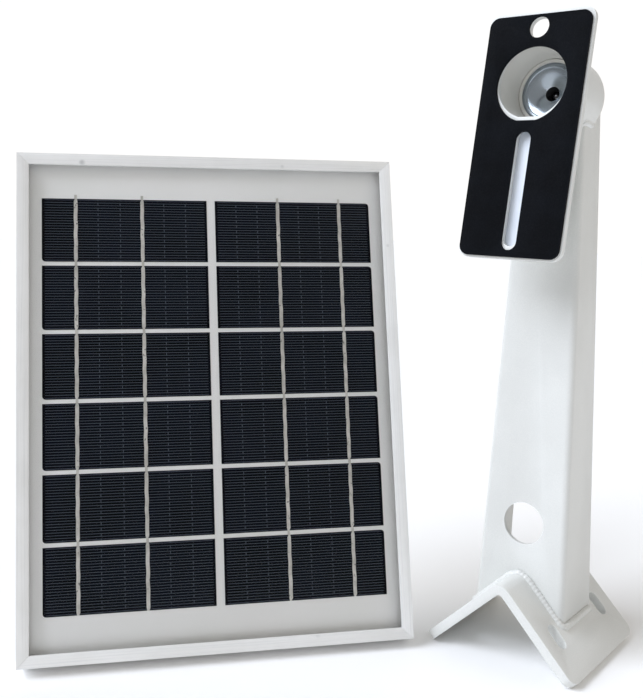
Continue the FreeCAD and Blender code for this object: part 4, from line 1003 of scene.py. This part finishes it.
def turned_piece(name, outline, depth, body, slot, finish, nodes, sides=96):
    """A turned piece on the lens axis, its outline's depth 0 at the given depth in the head's axes."""
    mesh = turned_mesh(name, outline, sides)
    centre = HEAD_TURN @ Vector((LENS_AXIS.x, depth, LENS_AXIS.z))
    mesh.transform(Matrix.Translation(centre) @ HEAD_TURN.to_4x4())
    piece = new_piece(name, mesh, FINISHES[finish])
    print(name, len(mesh.polygons), "faces")
    return settle(piece, body, slot, *nodes)


def funnel():
    low, high = square_box("bezel_cone")
    rim = (high.x - low.x) / 2 / MM
    deep = (high.y - low.y) / MM
    throat = 3.2
    inner = [(rim - 0.7, 0.15), (rim - 0.9, 0.0), (rim - 1.6, 0.0), (rim - 1.8, 0.25)]
    for i in range(13):
        share = i / 12
        inner.append((rim - 2.0 - (rim - 2.0 - throat) * share, 0.35 + (deep - 0.5) * share ** 1.5))
    outline = [(throat + 0.5, deep), (rim, 1.1), (rim, 0.3)] + inner
    outline.append(outline[0])
    solid = [(r, y) for r, y in outline]
    return turned_piece("bright_funnel", solid, low.y, "mast", NODE_SLOT["bezel_cone"], "metallised_funnel",
                        ["bezel_cone"])


def front_lens():
    low, high = square_box("lens_elements")
    radius = (high.x - low.x) / 2 / MM
    dome = [(radius * math.sin(math.radians(a)) / math.sin(math.radians(40)),
             0.9 * (1 - (math.cos(math.radians(a)) - math.cos(math.radians(40))) /
                    (1 - math.cos(math.radians(40))))) for a in (0, 8, 16, 24, 32, 40)]
    deep = (high.y - low.y) / MM
    outline = [(0, 0.0)] + dome[1:] + [(radius, deep), (0, deep)]
    return turned_piece("lens_glasses", outline, low.y, "lens", NODE_SLOT["lens_elements"],
                        "coated_lens_glass", ["lens_elements"])


funnel()
front_lens()

# %% [markdown]
# ## Floor, light and camera
#
# The stage is a plain pale floor under soft light.  A wide cool sun stands in front and to the
# left, a weaker warm one to the right and behind, and an even pale sky fills the rest.  The
# camera stands a little above the mast's middle and looks slightly down, from its front right.

# %% Stage
FLOOR_SIZE = 6.0


def pale_floor():
    tree, where = new_finish("pale_floor")
    cloud = noise(tree, where, 120.0, 2.0)
    surface(tree, {"Base Color": mixed(tree, cloud, "#fdfdfd", "#ffffff"), "IOR": 1.3,
                   "Roughness": ranged(tree, cloud, 0.8, 0.9)})
    solid = bmesh.new()
    bmesh.ops.create_grid(solid, x_segments=1, y_segments=1, size=FLOOR_SIZE / 2)
    mesh = bpy.data.meshes.new("floor")
    solid.to_mesh(mesh)
    solid.free()
    new_piece("floor", mesh, FINISHES["pale_floor"])


def soft_sun(name, direction, strength, width, tint):
    """A wide sun, so that light reaches the floor as evenly as the object."""
    data = bpy.data.lights.new(name, "SUN")
    data.energy = strength
    data.angle = math.radians(width)
    data.color = colour(tint)[:3]
    lamp = bpy.data.objects.new(name, data)
    lamp.rotation_euler = Vector(direction).to_track_quat("Z", "Y").to_euler()
    bpy.context.scene.collection.objects.link(lamp)


def sky():
    """An even sky that is brighter in one wide patch behind the object, so the scene ends in white."""
    world = bpy.data.worlds.new("even_sky")
    world.use_nodes = True
    tree = world.node_tree
    back = tree.nodes["Background"]
    back.inputs["Color"].default_value = colour("#fdfcfb")
    where = tree.nodes.new("ShaderNodeTexCoord").outputs["Generated"]
    toward = tree.nodes.new("ShaderNodeVectorMath")
    toward.operation = "DOT_PRODUCT"
    toward.inputs[1].default_value = (-0.62, 0.78, 0.0)
    tree.links.new(where, toward.inputs[0])
    strength = tree.nodes.new("ShaderNodeMapRange")
    for socket, value in zip(strength.inputs[1:5], (0.6, 0.88, 0.42, 1.06)):
        socket.default_value = value
    tree.links.new(toward.outputs["Value"], strength.inputs[0])
    tree.links.new(strength.outputs[0], back.inputs["Strength"])
    bpy.context.scene.world = world


pale_floor()
soft_sun("front_left_sun", (-0.45, -0.62, 0.66), 2.8, 40, "#eef4ff")
soft_sun("rear_right_sun", (0.8, 0.45, 0.6), 0.4, 50, "#fff2e0")
sky()
bpy.context.scene.view_settings.view_transform = "Standard"

# %% Camera
CAMERA_PLACE = (0.27409, -0.32381, 0.21605)
CAMERA_TURN = math.radians(38.44)
CAMERA_DOWN = math.radians(9.81)
CAMERA_ROLL = math.radians(1.14)
FOCAL_LENGTH = 47.86


def stand_camera():
    data = bpy.data.cameras.new("camera")
    data.lens = FOCAL_LENGTH
    data.sensor_width = 36.0
    data.clip_start = 0.01
    camera = bpy.data.objects.new("camera", data)
    camera.matrix_world = (Matrix.Translation(CAMERA_PLACE) @ Matrix.Rotation(CAMERA_TURN, 4, "Z")
                           @ Matrix.Rotation(math.pi / 2 - CAMERA_DOWN, 4, "X")
                           @ Matrix.Rotation(CAMERA_ROLL, 4, "Z"))
    bpy.context.scene.collection.objects.link(camera)
    bpy.context.scene.camera = camera


stand_camera()
